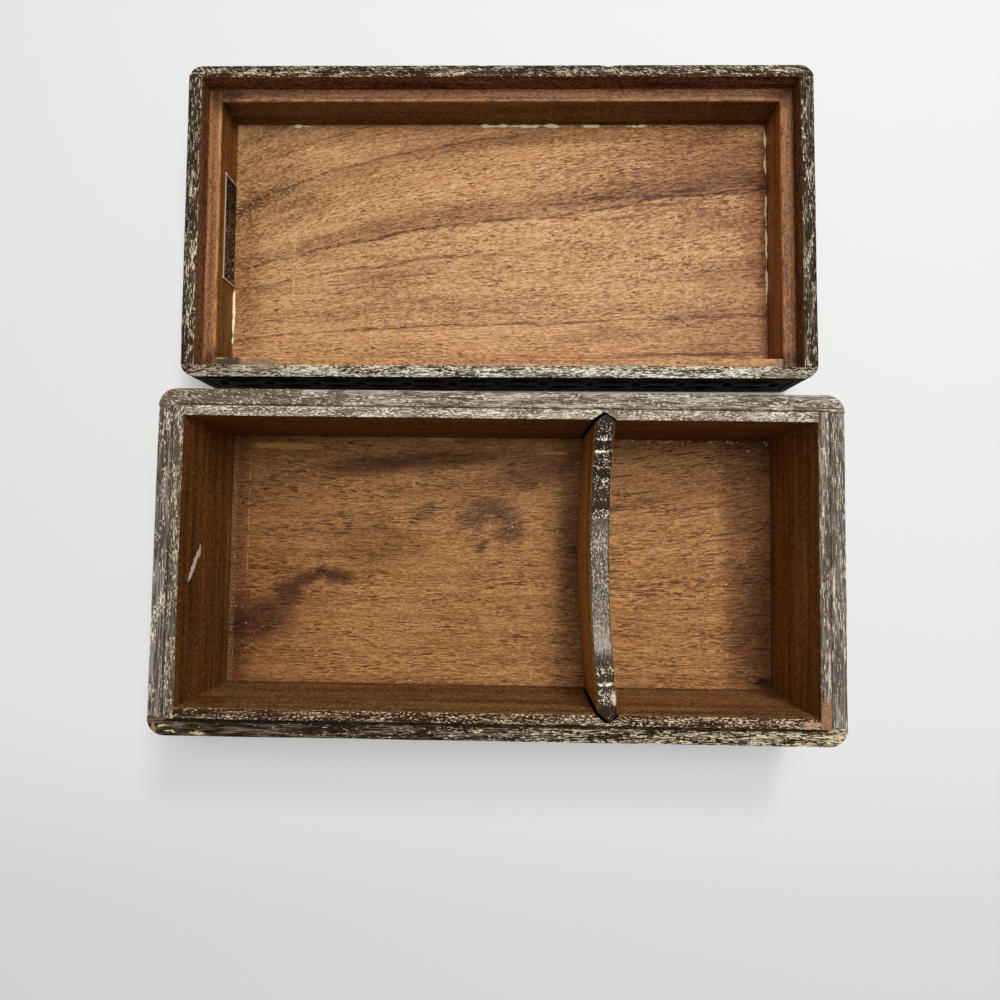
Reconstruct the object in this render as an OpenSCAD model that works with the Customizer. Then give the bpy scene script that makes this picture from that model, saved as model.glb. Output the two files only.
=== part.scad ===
// Carved wooden jewelry box, opened: the tray stands with its divider in place,
// and the lift-off lid lies upside down behind it, as a box is set out for filling.
// Both halves have double walls: painted outer boards, and plain liners inside them.

/* [Whole box] */
// Outer length of tray and lid
box_length = 300; // [240:5:400]
// Outer width of the tray
box_width = 151; // [120:1:220]
// Radius of the tray's four upright outer corners
corner_radius = 7.6; // [2:0.2:8]
// Gap left between pieces that slide in each other
fit_clearance = 0.3; // [0.1:0.05:0.6]

/* [Tray] */
// Height of the tray's outer boards
tray_height = 61.5; // [45:0.5:110]
// Thickness of the tray's outer boards
tray_board = 8; // [6:0.5:12]
// Thickness of the tray's liners
tray_liner = 4.6; // [4:0.2:8]
// How far the liners stand above the outer boards, as a lip for the lid
lip_rise = 3; // [1:0.5:6]
// Rounding of the lip's inner edge
lip_round = 0.8; // [0.2:0.1:1.6]
// Thickness of the bottom board
bottom_thickness = 6.5; // [4:0.5:12]
// Distance of the back board's butt splice from the left end
splice_distance = 63; // [30:1:110]

/* [Divider] */
// Thickness of the divider
divider_thickness = 8.7; // [6:0.1:12]
// Place of the divider's ends, to the right of the middle
divider_place = 47.2; // [-70:0.2:70]
// How far the divider is bowed towards the left at its middle
divider_bow = 3.3; // [0.5:0.1:6]
// Turn of the divider, which sets its front end to the right of its back end, in degrees
divider_turn = 0.9; // [0:0.1:2]
// How far the divider's top lies below the lip
divider_drop = 0.5; // [0:0.5:20]
// Depth of the grooves that hold the divider's pointed ends
groove_depth = 3.3; // [2:0.1:3.6]
// Extra width of each groove, on its left side
groove_slack = 1.3; // [0:0.1:2]

/* [Lid] */
// Height of the whole lid
lid_height = 39; // [32:0.5:70]
// How much wider the lid is than the tray
lid_extra_width = 0.7; // [0:0.1:2]
// Radius of the lid's four upright outer corners
lid_corner_radius = 7; // [2:0.2:8]
// Thickness of the lid's top board
lid_top = 9; // [6:0.5:12]
// Rounding of the top board's outer edges
lid_edge_round = 7; // [2:0.5:8]
// Play at each end between the lid's rim and the tray's lip
lid_play = 1.6; // [0.6:0.1:2.4]
// Play along each side between the lid's rim and the tray's lip
lid_side_play = 2.6; // [0.6:0.1:3.2]
// Thickness of the lid's liners
lid_liner = 6.3; // [4:0.1:9]
// Depth from the rim to the liners' ledge
rebate_depth = 9.7; // [7:0.1:14]
// Rounding of the ledge's inner edge
ledge_round = 1.6; // [0.4:0.2:3]
// Space between the tray and the lid that lies behind it
lid_gap = 11.1; // [8:0.1:60]
// Sideways shift of the lid that lies behind the tray
lid_shift = -2.1; // [-10:0.1:10]
// Turn of the lid that lies behind the tray, in degrees
lid_turn = 0.4; // [0:0.1:2]

/* [Label] */
// Length of the bare label inside the lid
label_length = 54; // [20:1:80]
// Height of the bare label
label_height = 14; // [6:0.5:16]
// Thickness of the bare label
label_thickness = 0.4; // [0.2:0.1:1]
// Distance of the label's middle from the middle of the wall
label_place = 4.2; // [-20:0.2:20]

/* [Carving] */
// Depth of the leaf cuts
carve_depth = 1.5; // [0.6:0.1:2.2]
// Greatest width of a leaf cut
leaf_width = 6.6; // [3:0.2:8]
// Length of one cell of the leaf lattice, before it is fitted to its board
leaf_pitch = 22; // [16:0.5:30]
// Plain wood left between the tips of neighbouring leaves
leaf_space = 2.4; // [1:0.1:5]
// Plain border between the carved field and the edge of its board
carve_border = 5.5; // [4:0.5:8]
// Width of the V grooves that frame a carved field
frame_width = 1.8; // [0.8:0.2:3]
// Radius of the six-leaved roses on the lid's top
rose_radius = 38; // [20:1:40]
// Greatest width of a rose's leaves
rose_leaf_width = 10; // [6:0.5:12]

/* [Hidden] */

painted = "#6f665c";
bare_wood = "#8a5a35";
pale_wood = "#b98556";
dark_wood = "#6b4327";

half_length = box_length / 2;
half_width = box_width / 2;
overcut = 0.5;

// Tray, from the outside in
tray_liner_length = box_length - 2 * tray_board;
tray_liner_width = box_width - 2 * tray_board;
tray_inner_length = tray_liner_length - 2 * tray_liner;
tray_inner_width = tray_liner_width - 2 * tray_liner;
lip_top = tray_height + lip_rise;

// Divider: the centre line is an arc through both grooves
groove_mouth = divider_thickness + 2 * fit_clearance;
groove_shift = tan(divider_turn) * tray_inner_width / 2;
divider_reach = tray_inner_width / 2 - fit_clearance;
divider_radius = (pow(divider_reach, 2) + pow(divider_bow, 2)) / (2 * divider_bow);
divider_bottom = bottom_thickness + fit_clearance / 2;
divider_height = lip_top - divider_drop - divider_bottom;
divider_steps = 24;

// Lid, from the outside in; z = 0 is the carved top, which lies on the table
lid_width = box_width + lid_extra_width;
lid_board = tray_board - lid_play;
lid_side_board = tray_board + lid_extra_width / 2 - lid_side_play;
lid_rim_length = box_length - 2 * lid_board;
lid_rim_width = lid_width - 2 * lid_side_board;
lid_inner_length = lid_rim_length - 2 * lid_liner;
lid_inner_width = lid_rim_width - 2 * lid_liner;
ledge_height = lid_height - rebate_depth;
lid_round = min(lid_edge_round, lid_top - overcut);
lid_distance = (box_width + lid_width) / 2 + lid_gap;

// Carved top of the lid: a frame, with a row of roses in rings inside it
top_border = lid_round + carve_border;
top_field_length = box_length - 2 * top_border;
ring_radius = rose_radius + leaf_space;
rose_pitch = 2 * (ring_radius + frame_width);
rose_count = max(1, floor(top_field_length / rose_pitch));

// Outline of the tray or the lid from above, with its rounded corners
module box_plan(width, radius) {
    square([box_length - 2 * radius, width], center = true);
    square([box_length, width - 2 * radius], center = true);
    for (sx = [-1, 1], sy = [-1, 1])
        translate([sx * (half_length - radius), sy * (width / 2 - radius)])
            circle(r = radius, $fn = 64);
}

// One leaf-shaped chip cut along X into the plane z = 0, made as by a wheel with a V edge
module leaf_cut(length, width) {
    wheel_radius = (pow(length / 2, 2) + pow(carve_depth, 2)) / (2 * carve_depth);
    wheel_half = wheel_radius * (width / 2) / carve_depth;
    intersection() {
        translate([0, 0, wheel_radius - carve_depth])
            rotate([90, 0, 0])
                rotate_extrude($fn = 192)
                    polygon([[0, -wheel_half], [wheel_radius, 0], [0, wheel_half]]);
        translate([-length / 2 - 1, -width / 2 - 1, -carve_depth - 1])
            cube([length + 2, width + 2, carve_depth + 1 + overcut / 5]);
    }
}

// V groove along X into the plane z = 0
module frame_groove(length) {
    rotate([45, 0, 0])
        cube([length, frame_width / sqrt(2), frame_width / sqrt(2)], center = true);
}

// Frame of four V grooves round a field, which stop short of its corners
module groove_frame(length, height) {
    for (side = [-1, 1]) {
        translate([0, side * height / 2, 0])
            frame_groove(length - 2 * frame_width);
        translate([side * length / 2, 0, 0])
            rotate([0, 0, 90])
                frame_groove(height - 2 * frame_width);
    }
}

// Leaf lattice that fills a field: a leaf on each side of every cell
module leaf_lattice(length, height) {
    columns = max(1, round(length / leaf_pitch));
    rows = max(1, round(height / leaf_pitch));
    cell_x = length / columns;
    cell_y = height / rows;
    for (i = [0 : columns - 1], j = [0 : rows])
        translate([(i + 0.5) * cell_x - length / 2, j * cell_y - height / 2, 0])
            leaf_cut(cell_x - leaf_space, leaf_width);
    for (i = [0 : columns], j = [0 : rows - 1])
        translate([i * cell_x - length / 2, (j + 0.5) * cell_y - height / 2, 0])
            rotate([0, 0, 90])
                leaf_cut(cell_y - leaf_space, leaf_width);
}

// Everything that is cut into one upright face of the given size, seen from outside
module wall_carving(length, height) {
    groove_frame(length - carve_border, height - carve_border);
    leaf_lattice(length - 2 * carve_border - leaf_width,
                 height - 2 * carve_border - leaf_width);
}

// Six leaves round a point, within a ring
module rose() {
    leaf_length = rose_radius - leaf_space;
    for (turn = [0 : 60 : 300])
        rotate([0, 0, turn])
            translate([leaf_space + leaf_length / 2, 0, 0])
                leaf_cut(leaf_length, rose_leaf_width);
    rotate_extrude($fn = 96)
        translate([ring_radius, 0])
            rotate(45)
                square(frame_width / sqrt(2), center = true);
}

// Long board along the front edge of a frame of the given width, from x = from to x = to
module long_board(width, radius, thickness, bottom, top, from, to) {
    difference() {
        translate([0, 0, bottom])
            linear_extrude(top - bottom)
                intersection() {
                    box_plan(width, radius);
                    translate([from, -width / 2]) square([to - from, thickness]);
                }
        translate([0, -width / 2, (bottom + top) / 2])
            rotate([90, 0, 0])
                wall_carving(box_length - 2 * radius, top - bottom);
    }
}

// Short board at the left end of such a frame, between its two long boards
module short_board(width, radius, side_board, thickness, bottom, top) {
    length = width - 2 * side_board;
    difference() {
        translate([0, 0, bottom])
            linear_extrude(top - bottom)
                intersection() {
                    box_plan(width, radius);
                    translate([-half_length, -length / 2]) square([thickness, length]);
                }
        translate([-half_length, 0, (bottom + top) / 2])
            rotate([90, 0, -90])
                wall_carving(length, top - bottom);
    }
}

// Section of a liner: z up from zero, its inner top edge rounded at y = thickness
module liner_section(thickness, height, radius) {
    square([thickness - radius, height]);
    square([thickness, height - radius]);
    translate([thickness - radius, height - radius]) circle(r = radius, $fn = 48);
}

// Liner along X whose outer face is at y = 0 and whose inner face looks along +Y
module liner(length, thickness, height, radius) {
    rotate([90, 0, 90])
        linear_extrude(length, center = true)
            liner_section(thickness, height, radius);
}

// Liner that runs along the front of a frame of the given outer width
module front_liner(length, frame_width_y, thickness, bottom, top, radius) {
    translate([0, -frame_width_y / 2, bottom])
        liner(length, thickness, top - bottom, radius);
}

// Liner that runs along the left end of a frame of the given outer length
module left_liner(length, frame_length_x, thickness, bottom, top, radius) {
    translate([-frame_length_x / 2, 0, bottom])
        rotate([0, 0, -90])
            liner(length, thickness, top - bottom, radius);
}

// V groove for the divider, open towards the inside of the front liner; it is too wide on the left
module divider_groove(shift) {
    left = -groove_mouth / 2 - groove_slack;
    translate([divider_place + shift, -tray_inner_width / 2, bottom_thickness - overcut])
        linear_extrude(lip_top - bottom_thickness + 2 * overcut)
            polygon([
                [left, overcut], [left, 0],
                [-groove_slack, -groove_depth], [0, -groove_depth],
                [groove_mouth / 2, 0], [groove_mouth / 2, overcut]
            ]);
}

module tray_long_board(from, to) {
    long_board(box_width, corner_radius, tray_board, 0, tray_height, from, to);
}

module tray_short_board() {
    short_board(box_width, corner_radius, tray_board, tray_board, 0, tray_height);
}

module tray_front_board() {
    color(painted) tray_long_board(-half_length, half_length);
}

module tray_back_board_long() {
    color(painted)
        mirror([0, 1, 0])
            tray_long_board(splice_distance - half_length, half_length);
}

module tray_back_board_short() {
    color(painted)
        mirror([0, 1, 0])
            tray_long_board(-half_length, splice_distance - half_length);
}

module tray_left_board() {
    color(painted) tray_short_board();
}

module tray_right_board() {
    color(painted) mirror([1, 0, 0]) tray_short_board();
}

// The long liner butts between the short ones and holds one groove
module tray_long_liner(shift) {
    difference() {
        front_liner(tray_inner_length, tray_liner_width, tray_liner,
                    bottom_thickness, lip_top, lip_round);
        divider_groove(shift);
    }
}

module tray_front_liner() {
    color(bare_wood) tray_long_liner(groove_shift);
}

module tray_back_liner() {
    color(bare_wood) mirror([0, 1, 0]) tray_long_liner(-groove_shift);
}

module tray_left_liner() {
    color(bare_wood)
        left_liner(tray_liner_width, tray_liner_length, tray_liner,
                   bottom_thickness, lip_top, lip_round);
}

module tray_right_liner() {
    color(bare_wood) mirror([1, 0, 0])
        left_liner(tray_liner_width, tray_liner_length, tray_liner,
                   bottom_thickness, lip_top, lip_round);
}

module tray_bottom() {
    color(dark_wood)
        translate([-tray_liner_length / 2, -tray_liner_width / 2, 0])
            cube([tray_liner_length, tray_liner_width, bottom_thickness]);
}

// Bowed board with a point at each end that slides down between the long liners
module divider() {
    half = divider_thickness / 2;
    function bow_at(y) = divider_radius - divider_bow - sqrt(pow(divider_radius, 2) - pow(y, 2));
    steps = [for (i = [0 : divider_steps]) divider_reach * (2 * i / divider_steps - 1)];
    left_side = [for (y = steps) [bow_at(y) - half, y]];
    right_side = [for (y = steps) [bow_at(-y) + half, -y]];
    front_point = [[0, -divider_reach - groove_depth]];
    back_point = [[0, divider_reach + groove_depth]];
    color(bare_wood)
        translate([divider_place, 0, divider_bottom])
            rotate([0, 0, divider_turn])
                linear_extrude(divider_height)
                    polygon(concat(front_point, left_side, back_point, right_side));
}

// Where the lid lies: upside down behind the tray
module lid_place() {
    translate([lid_shift, lid_distance, 0])
        rotate([0, 0, lid_turn])
            children();
}

// Outline of the top board from one side, with both lower edges rounded
module top_profile(length) {
    translate([-length / 2, lid_round]) square([length, lid_top - lid_round]);
    translate([lid_round - length / 2, 0]) square([length - 2 * lid_round, lid_top]);
    for (side = [-1, 1])
        translate([side * (length / 2 - lid_round), lid_round])
            circle(r = lid_round, $fn = 64);
}

module lid_top_board() {
    color(painted)
        lid_place()
            difference() {
                intersection() {
                    linear_extrude(lid_top) box_plan(lid_width, lid_corner_radius);
                    rotate([90, 0, 0])
                        linear_extrude(lid_width + 2, center = true) top_profile(box_length);
                    rotate([90, 0, 90])
                        linear_extrude(box_length + 2, center = true) top_profile(lid_width);
                }
                rotate([180, 0, 0]) {
                    groove_frame(top_field_length, lid_width - 2 * top_border);
                    for (i = [0 : rose_count - 1])
                        translate([(i - (rose_count - 1) / 2) * rose_pitch, 0, 0])
                            rose();
                }
            }
}

module lid_long_board() {
    long_board(lid_width, lid_corner_radius, lid_side_board, lid_top, lid_height,
               -half_length, half_length);
}

module lid_short_board() {
    short_board(lid_width, lid_corner_radius, lid_side_board, lid_board, lid_top, lid_height);
}

module lid_front_board() {
    color(painted) lid_place() lid_long_board();
}

module lid_back_board() {
    color(painted) lid_place() mirror([0, 1, 0]) lid_long_board();
}

module lid_left_board() {
    color(painted) lid_place() lid_short_board();
}

module lid_right_board() {
    color(painted) lid_place() mirror([1, 0, 0]) lid_short_board();
}

module lid_long_liner() {
    front_liner(lid_inner_length, lid_rim_width, lid_liner, lid_top, ledge_height, ledge_round);
}

module lid_short_liner() {
    left_liner(lid_rim_width, lid_rim_length, lid_liner, lid_top, ledge_height, ledge_round);
}

module lid_front_liner() {
    color(pale_wood) lid_place() lid_long_liner();
}

module lid_back_liner() {
    color(pale_wood) lid_place() mirror([0, 1, 0]) lid_long_liner();
}

module lid_left_liner() {
    color(pale_wood) lid_place() lid_short_liner();
}

module lid_right_liner() {
    color(pale_wood) lid_place() mirror([1, 0, 0]) lid_short_liner();
}

// Bare label on the inner face of the left liner
module lid_label() {
    color("#1d1c1b")
        lid_place()
            translate([-lid_inner_length / 2, label_place - label_length / 2,
                       lid_top + fit_clearance])
                cube([label_thickness, label_length, label_height]);
}

tray_front_board();
tray_back_board_long();
tray_back_board_short();
tray_left_board();
tray_right_board();
tray_front_liner();
tray_back_liner();
tray_left_liner();
tray_right_liner();
tray_bottom();
divider();
lid_top_board();
lid_front_board();
lid_back_board();
lid_left_board();
lid_right_board();
lid_front_liner();
lid_back_liner();
lid_left_liner();
lid_right_liner();
lid_label();
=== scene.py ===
"""Carved wooden jewelry box, opened: the tray with its divider, and the lid upside down behind it.

Places are worked out in millimetres in the part's frame, and written in metres. Every board is an outline
carried along a line (see board), every finish is built from noise stretched along the board's grain.
"""
import math
from functools import partial, reduce

import bpy
import numpy as np
from mathutils import Matrix, Vector


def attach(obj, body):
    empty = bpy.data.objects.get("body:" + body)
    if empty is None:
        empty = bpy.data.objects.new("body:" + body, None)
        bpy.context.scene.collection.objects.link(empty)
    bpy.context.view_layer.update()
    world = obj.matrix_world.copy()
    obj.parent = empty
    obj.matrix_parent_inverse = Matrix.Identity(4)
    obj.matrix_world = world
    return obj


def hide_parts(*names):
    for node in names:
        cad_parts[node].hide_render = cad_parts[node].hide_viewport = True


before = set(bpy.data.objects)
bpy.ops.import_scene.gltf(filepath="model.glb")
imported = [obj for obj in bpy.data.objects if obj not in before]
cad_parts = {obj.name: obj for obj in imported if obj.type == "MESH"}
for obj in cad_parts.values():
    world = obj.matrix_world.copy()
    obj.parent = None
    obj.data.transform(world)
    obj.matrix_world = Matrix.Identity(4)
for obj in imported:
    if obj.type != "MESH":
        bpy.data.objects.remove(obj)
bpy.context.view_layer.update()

MM = 0.001

# Sizes of the box, as in the part
LENGTH, WIDTH, CORNER = 300.0, 151.0, 7.6
TRAY_HEIGHT, TRAY_BOARD, TRAY_LINER = 61.5, 8.0, 4.6
FLOOR_TOP, LIP_TOP, SPLICE = 6.5, 64.5, -87.0
LID_WIDTH, LID_HEIGHT, LID_TOP, LID_ROUND = 151.7, 39.0, 9.0, 7.0
LID_BOARD, LID_SIDE, LID_LINER, LEDGE = 6.4, 5.75, 6.3, 29.3
LID_PLACE, LID_TURN = (-2.1, 162.45), math.radians(0.4)
HALF_L, HALF_W, LID_HALF = LENGTH / 2, WIDTH / 2, LID_WIDTH / 2
TRAY_X, TRAY_Y = HALF_L - TRAY_BOARD, HALF_W - TRAY_BOARD
INNER_X, INNER_Y = TRAY_X - TRAY_LINER, TRAY_Y - TRAY_LINER
RIM_X, RIM_Y = HALF_L - LID_BOARD, LID_HALF - LID_SIDE
PANEL_X, PANEL_Y = RIM_X - LID_LINER, RIM_Y - LID_LINER

# Sizes of the divider and its grooves
DIVIDER_X, DIVIDER_THICK, DIVIDER_BOW, DIVIDER_REACH = 47.2, 8.7, 3.3, 62.6
DIVIDER_LOW, DIVIDER_HIGH, DIVIDER_TURN = 6.65, 64.0, math.radians(0.9)
GROOVE_MOUTH, GROOVE_DEPTH, GROOVE_SLACK = 9.3, 3.3, 1.3
GROOVE_SHIFT = math.tan(DIVIDER_TURN) * INNER_Y

# Sizes of the carving
CUT, LEAF, PITCH, SPACE, BORDER, VEE = 1.5, 6.6, 22.0, 2.4, 5.5, 1.8
ROSE, ROSE_LEAF, ROSE_PITCH = 38.0, 10.0, 84.4
VEE_LINES = (-VEE / 2, 0, VEE / 2)

ALONG = {"front": (1, 0), "back": (1, 0), "left": (0, 1), "right": (0, 1)}
OUTWARD = {"front": (0, -1), "back": (0, 1), "left": (-1, 0), "right": (1, 0)}

# How the surfaces are cut up, and how worn they are
ARC, CORNER_STEPS, MARGIN_STEPS = np.linspace(0, math.pi / 2, 5), 10, 8
STEP, CARVED_STEP, FINE_STEP, LOOSE_STEP = 1.6, 0.75, 0.8, 5.0
THINNEST, SOFT_END, NO_CORNER = 0.25, 0.3, (1e6, 1.0)
TOP_ROOM, OUTER_ROOM, INNER_ROOM = 1.7, 1.9, 2.4
LATTICE, ROUGHNESS = 128, 0.06
SHARP_ANGLE, BEAD_ANGLE = math.radians(38), math.radians(80)


def rgb(red, green, blue):
    """Colour as it shows on a screen, 0 to 255, turned into the linear colour that a shader takes."""
    part = np.array([red, green, blue]) / 255
    return (*np.where(part > 0.04045, ((part + 0.055) / 1.055) ** 2.4, part / 12.92), 1.0)


def shade(colour, times):
    """A colour made lighter or darker, kept below white."""
    return (*(min(part * times, 0.9) for part in colour[:3]), 1.0)


def between(a, b, share):
    """A colour on the way from one to another."""
    return (*(x + (y - x) * share for x, y in zip(a[:3], b[:3])), 1.0)


# Shapes

def ripple(a, b, size_a, size_b, seed):
    """Smooth random height from -1 to 1: random values on a lattice of cells, joined by 3t^2 - 2t^3."""
    lattice = np.random.default_rng(seed).uniform(-1, 1, (LATTICE, LATTICE))
    a, b = np.asarray(a, float) / size_a + LATTICE / 2, np.asarray(b, float) / size_b + LATTICE / 2
    a, b = np.broadcast_arrays(a, b)
    i, j = np.floor(a).astype(int), np.floor(b).astype(int)
    u, v = a - i, b - j
    u, v = u * u * (3 - 2 * u), v * v * (3 - 2 * v)

    def row(n):
        """Values between the lattice's columns, in row n of the cell."""
        near, far = lattice[i % LATTICE, (j + n) % LATTICE], lattice[(i + 1) % LATTICE, (j + n) % LATTICE]
        return near * (1 - u) + far * u

    return row(0) * (1 - v) + row(1) * v


def spaced(stops, step):
    """Places from the first stop to the last that hold every stop and lie about a step apart."""
    runs = [np.linspace(a, b, max(1, round((b - a) / step)), endpoint=False)
            for a, b in zip(stops[:-1], stops[1:])]
    return np.concatenate(runs + [[stops[-1]]])


def section(d0, d1, h0, h1, rounds, lines):
    """Outline of a board at every station, from the inner bottom edge round by the outer face.

    Each edge is a quarter circle, centre + radius (cos, sin); the bottom, outer, top and inner sides hold
    the given lines between them. Returns depth, height, and each point's share in the four sides.
    """
    d0, d1, h0, h1 = (np.reshape(v, (-1, 1)) for v in (d0, d1, h0, h1))
    corners = ((d0, h0, 1, 1), (d1, h0, -1, 1), (d1, h1, -1, -1), (d0, h1, 1, -1))
    depth, height, share = [], [], []
    for k, (d, h, to_d, to_h) in enumerate(corners):
        r = np.reshape(rounds[k], (-1, 1))
        angle = ARC + math.pi + k * math.pi / 2
        depth.append(d + to_d * r + r * np.cos(angle))
        height.append(h + to_h * r + r * np.sin(angle))
        turn = np.zeros((len(ARC), 4))
        turn[:, k] = ARC / ARC[-1]
        turn[:, k - 1] = 1 - turn[:, k]
        line = np.asarray(lines[k], float) if k < 2 else np.asarray(lines[k], float)[::-1]
        flat = np.zeros((len(line), 4))
        flat[:, k] = 1
        level = (h0, d1, h1, d0)[k] + 0 * line
        depth.append(level if k in (1, 3) else line + 0 * level)
        height.append(line + 0 * level if k in (1, 3) else level)
        share += [turn, flat]
    return np.hstack(depth), np.hstack(height), np.vstack(share)


def leaf(s, t, length, width):
    """Depth of a cut by a wheel with a V edge: sqrt((R (1 - |t| / h))^2 - s^2) - (R - depth), or none."""
    radius = ((length / 2) ** 2 + CUT ** 2) / (2 * CUT)
    half = radius * (width / 2) / CUT
    reach = (radius * (1 - np.abs(t) / half)) ** 2 - s ** 2
    return np.maximum(np.sqrt(np.maximum(reach, 0)) - (radius - CUT), 0)


def frame_cut(s, t, length, height):
    """Depth of four V grooves round a field: half the width less the distance from the nearest line."""
    lying = np.minimum(VEE / 2 - np.abs(np.abs(t) - height / 2), length / 2 - VEE - np.abs(s))
    standing = np.minimum(VEE / 2 - np.abs(np.abs(s) - length / 2), height / 2 - VEE - np.abs(t))
    return np.maximum(np.maximum(lying, standing), 0)


def wall_cut(s, t, length, height, seed):
    """Depth of a wall's carving: a leaf on each side of a lattice's cells, a little off, within a frame."""
    field_s, field_t = length - 2 * BORDER - LEAF, height - 2 * BORDER - LEAF
    columns, rows = max(1, round(field_s / PITCH)), max(1, round(field_t / PITCH))
    cell_s, cell_t = field_s / columns, field_t / rows
    u, v = s + field_s / 2, t + field_t / 2
    cells = 64
    hand = np.random.default_rng(seed).uniform(-1, 1, (3, cells, cells))
    depth = frame_cut(s, t, length - BORDER, height - BORDER)
    for lying in (True, False):
        col = np.floor(u / cell_s) if lying else np.round(u / cell_s)
        row = np.round(v / cell_t) if lying else np.floor(v / cell_t)
        inside = (col >= 0) & (row >= 0) & (col < columns + (not lying)) & (row < rows + lying)
        a, b = col.astype(int) + 8 * lying, row.astype(int)
        off_s, off_t, deep = (h[a % cells, b % cells] for h in hand)
        du = u - (col + 0.5 * lying) * cell_s + 0.3 * off_s
        dv = v - (row + 0.5 * (not lying)) * cell_t + 0.3 * off_t
        size = cell_s if lying else cell_t
        cut = leaf(du, dv, size - SPACE, LEAF) if lying else leaf(dv, du, size - SPACE, LEAF)
        depth = np.maximum(depth, np.where(inside, cut * (1 + 0.1 * deep), 0))
    return depth


def rose_cut(s, t):
    """Depth of six leaves round a point, folded into one sector of 60 degrees, within a ring groove."""
    angle, reach = np.arctan2(t, s), np.hypot(s, t)
    angle = angle - np.round(angle * 3 / math.pi) * math.pi / 3
    length = ROSE - SPACE
    petal = leaf(reach * np.cos(angle) - SPACE - length / 2, reach * np.sin(angle), length, ROSE_LEAF)
    return np.maximum(petal, np.maximum(VEE / 2 - np.abs(reach - ROSE - SPACE), 0))


def on_lid(points):
    """Points of the lid's own frame, turned and moved to where the lid lies."""
    c, s = math.cos(LID_TURN), math.sin(LID_TURN)
    x, y = points[..., 0], points[..., 1]
    return np.stack([c * x - s * y + LID_PLACE[0], s * x + c * y + LID_PLACE[1], points[..., 2]], -1)


def add_piece(name, points, loops, starts, materials, which, marks, body, nodes, creases):
    """Mesh object from whole arrays. A negative volume turns all faces round, so they point outwards.

    starts are the faces' first places in loops, which the faces' materials, and marks the values that the
    finishes read at each point. The piece then rides on its body in place of the nodes of the part.
    """
    mesh = bpy.data.meshes.new(name)
    points = np.asarray(points, float) * MM
    mesh.vertices.add(len(points))
    mesh.vertices.foreach_set("co", points.astype(np.float32).ravel())
    mesh.loops.add(len(loops))
    mesh.loops.foreach_set("vertex_index", np.asarray(loops, np.int32))
    mesh.polygons.add(len(starts))
    mesh.polygons.foreach_set("loop_start", np.asarray(starts, np.int32))
    mesh.update(calc_edges=True)
    mesh.validate()
    mesh.calc_loop_triangles()
    corner = np.empty(len(mesh.loop_triangles) * 3, np.int32)
    mesh.loop_triangles.foreach_get("vertices", corner)
    a, b, c = (points[corner[k::3]] for k in range(3))
    if np.einsum("ij,ij->", a, np.cross(b, c)) < 0:
        mesh.flip_normals()
    for material in materials:
        mesh.materials.append(material)
    mesh.polygons.foreach_set("material_index", np.asarray(which, np.int32))
    mesh.polygons.foreach_set("use_smooth", np.ones(len(starts), bool))
    mesh.set_sharp_from_angle(angle=creases)
    for mark, values in marks.items():
        data = mesh.attributes.new(mark, "FLOAT", "POINT").data
        data.foreach_set("value", np.asarray(values, np.float32).ravel())
    piece = bpy.data.objects.new(name, mesh)
    bpy.context.scene.collection.objects.link(piece)
    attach(piece, body)
    if nodes:
        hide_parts(*nodes)
    return piece


def tube(name, rings, material, marks, body, nodes=(), creases=SHARP_ANGLE):
    """Closed skin through a stack of rings [stations, points, 3], with one flat face on each end ring."""
    stations, around = rings.shape[:2]
    index = np.arange(stations * around).reshape(stations, around)
    after = np.roll(index, -1, 1)
    quads = np.stack([index[:-1], after[:-1], after[1:], index[1:]], -1).reshape(-1, 4)
    loops = np.concatenate([quads.ravel(), index[0, ::-1], index[-1]])
    starts = np.append(np.arange(len(quads) + 1) * 4, len(quads) * 4 + around)
    return add_piece(name, rings.reshape(-1, 3), loops, starts, [material], np.zeros(len(starts)), marks,
                     body, nodes, creases)


def stations(start, end, stops, step, arc, r, last):
    """Places along a board that hold its stops, set closer round an upright corner and at a butt end."""
    s = spaced(sorted(v for v in {start, end, *stops} if start <= v <= end), step)
    turn = np.sin(np.linspace(0, math.pi / 2, CORNER_STEPS))
    for tip, out in ((start, -1), (end, 1)):
        rounded = abs(tip) > arc + r / 2
        base = out * arc if rounded else tip - out * SOFT_END
        fine = out * np.minimum(arc + r * turn, last) if rounded else base + out * SOFT_END * turn[::3]
        s = np.unique(np.round(np.concatenate([s[(s - base) * out < -1e-6], fine]), 6))
    return s


def long_lines(thick, bottom, height, carved, step):
    """Places of the lines that run along a board, on its bottom, outer face, top and inner face."""
    low, high = min(TOP_ROOM, thick / 3), max(thick - TOP_ROOM, thick * 2 / 3)
    if carved:
        rows = [place + off for place in (BORDER / 2, height - BORDER / 2) for off in VEE_LINES]
        outer = spaced(rows, step)
    else:
        outer = spaced([OUTER_ROOM, height - OUTER_ROOM], LOOSE_STEP)
    inner = spaced([INNER_ROOM, height - INNER_ROOM], LOOSE_STEP)
    below, above = spaced([low, high], LOOSE_STEP / 2), spaced([low, high], FINE_STEP)
    return below, bottom + outer, above, bottom + inner


def groove_dent(s, notch):
    """Depth of the divider's groove along a liner: a V whose left side lies further out by the slack."""
    rise = (s - notch + GROOVE_SLACK) / (GROOVE_MOUTH / 2) + 1
    fall = (notch - s) / (GROOVE_MOUTH / 2) + 1
    return GROOVE_DEPTH * np.clip(np.minimum(rise, fall), 0, 1)


def edge_mark(share, shape):
    """1 at the middle of each rounded edge, where two sides have half of a point each, and 0 on the flats."""
    return np.broadcast_to(4 * (share * np.roll(share, 1, 1)).sum(1), shape)


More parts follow.
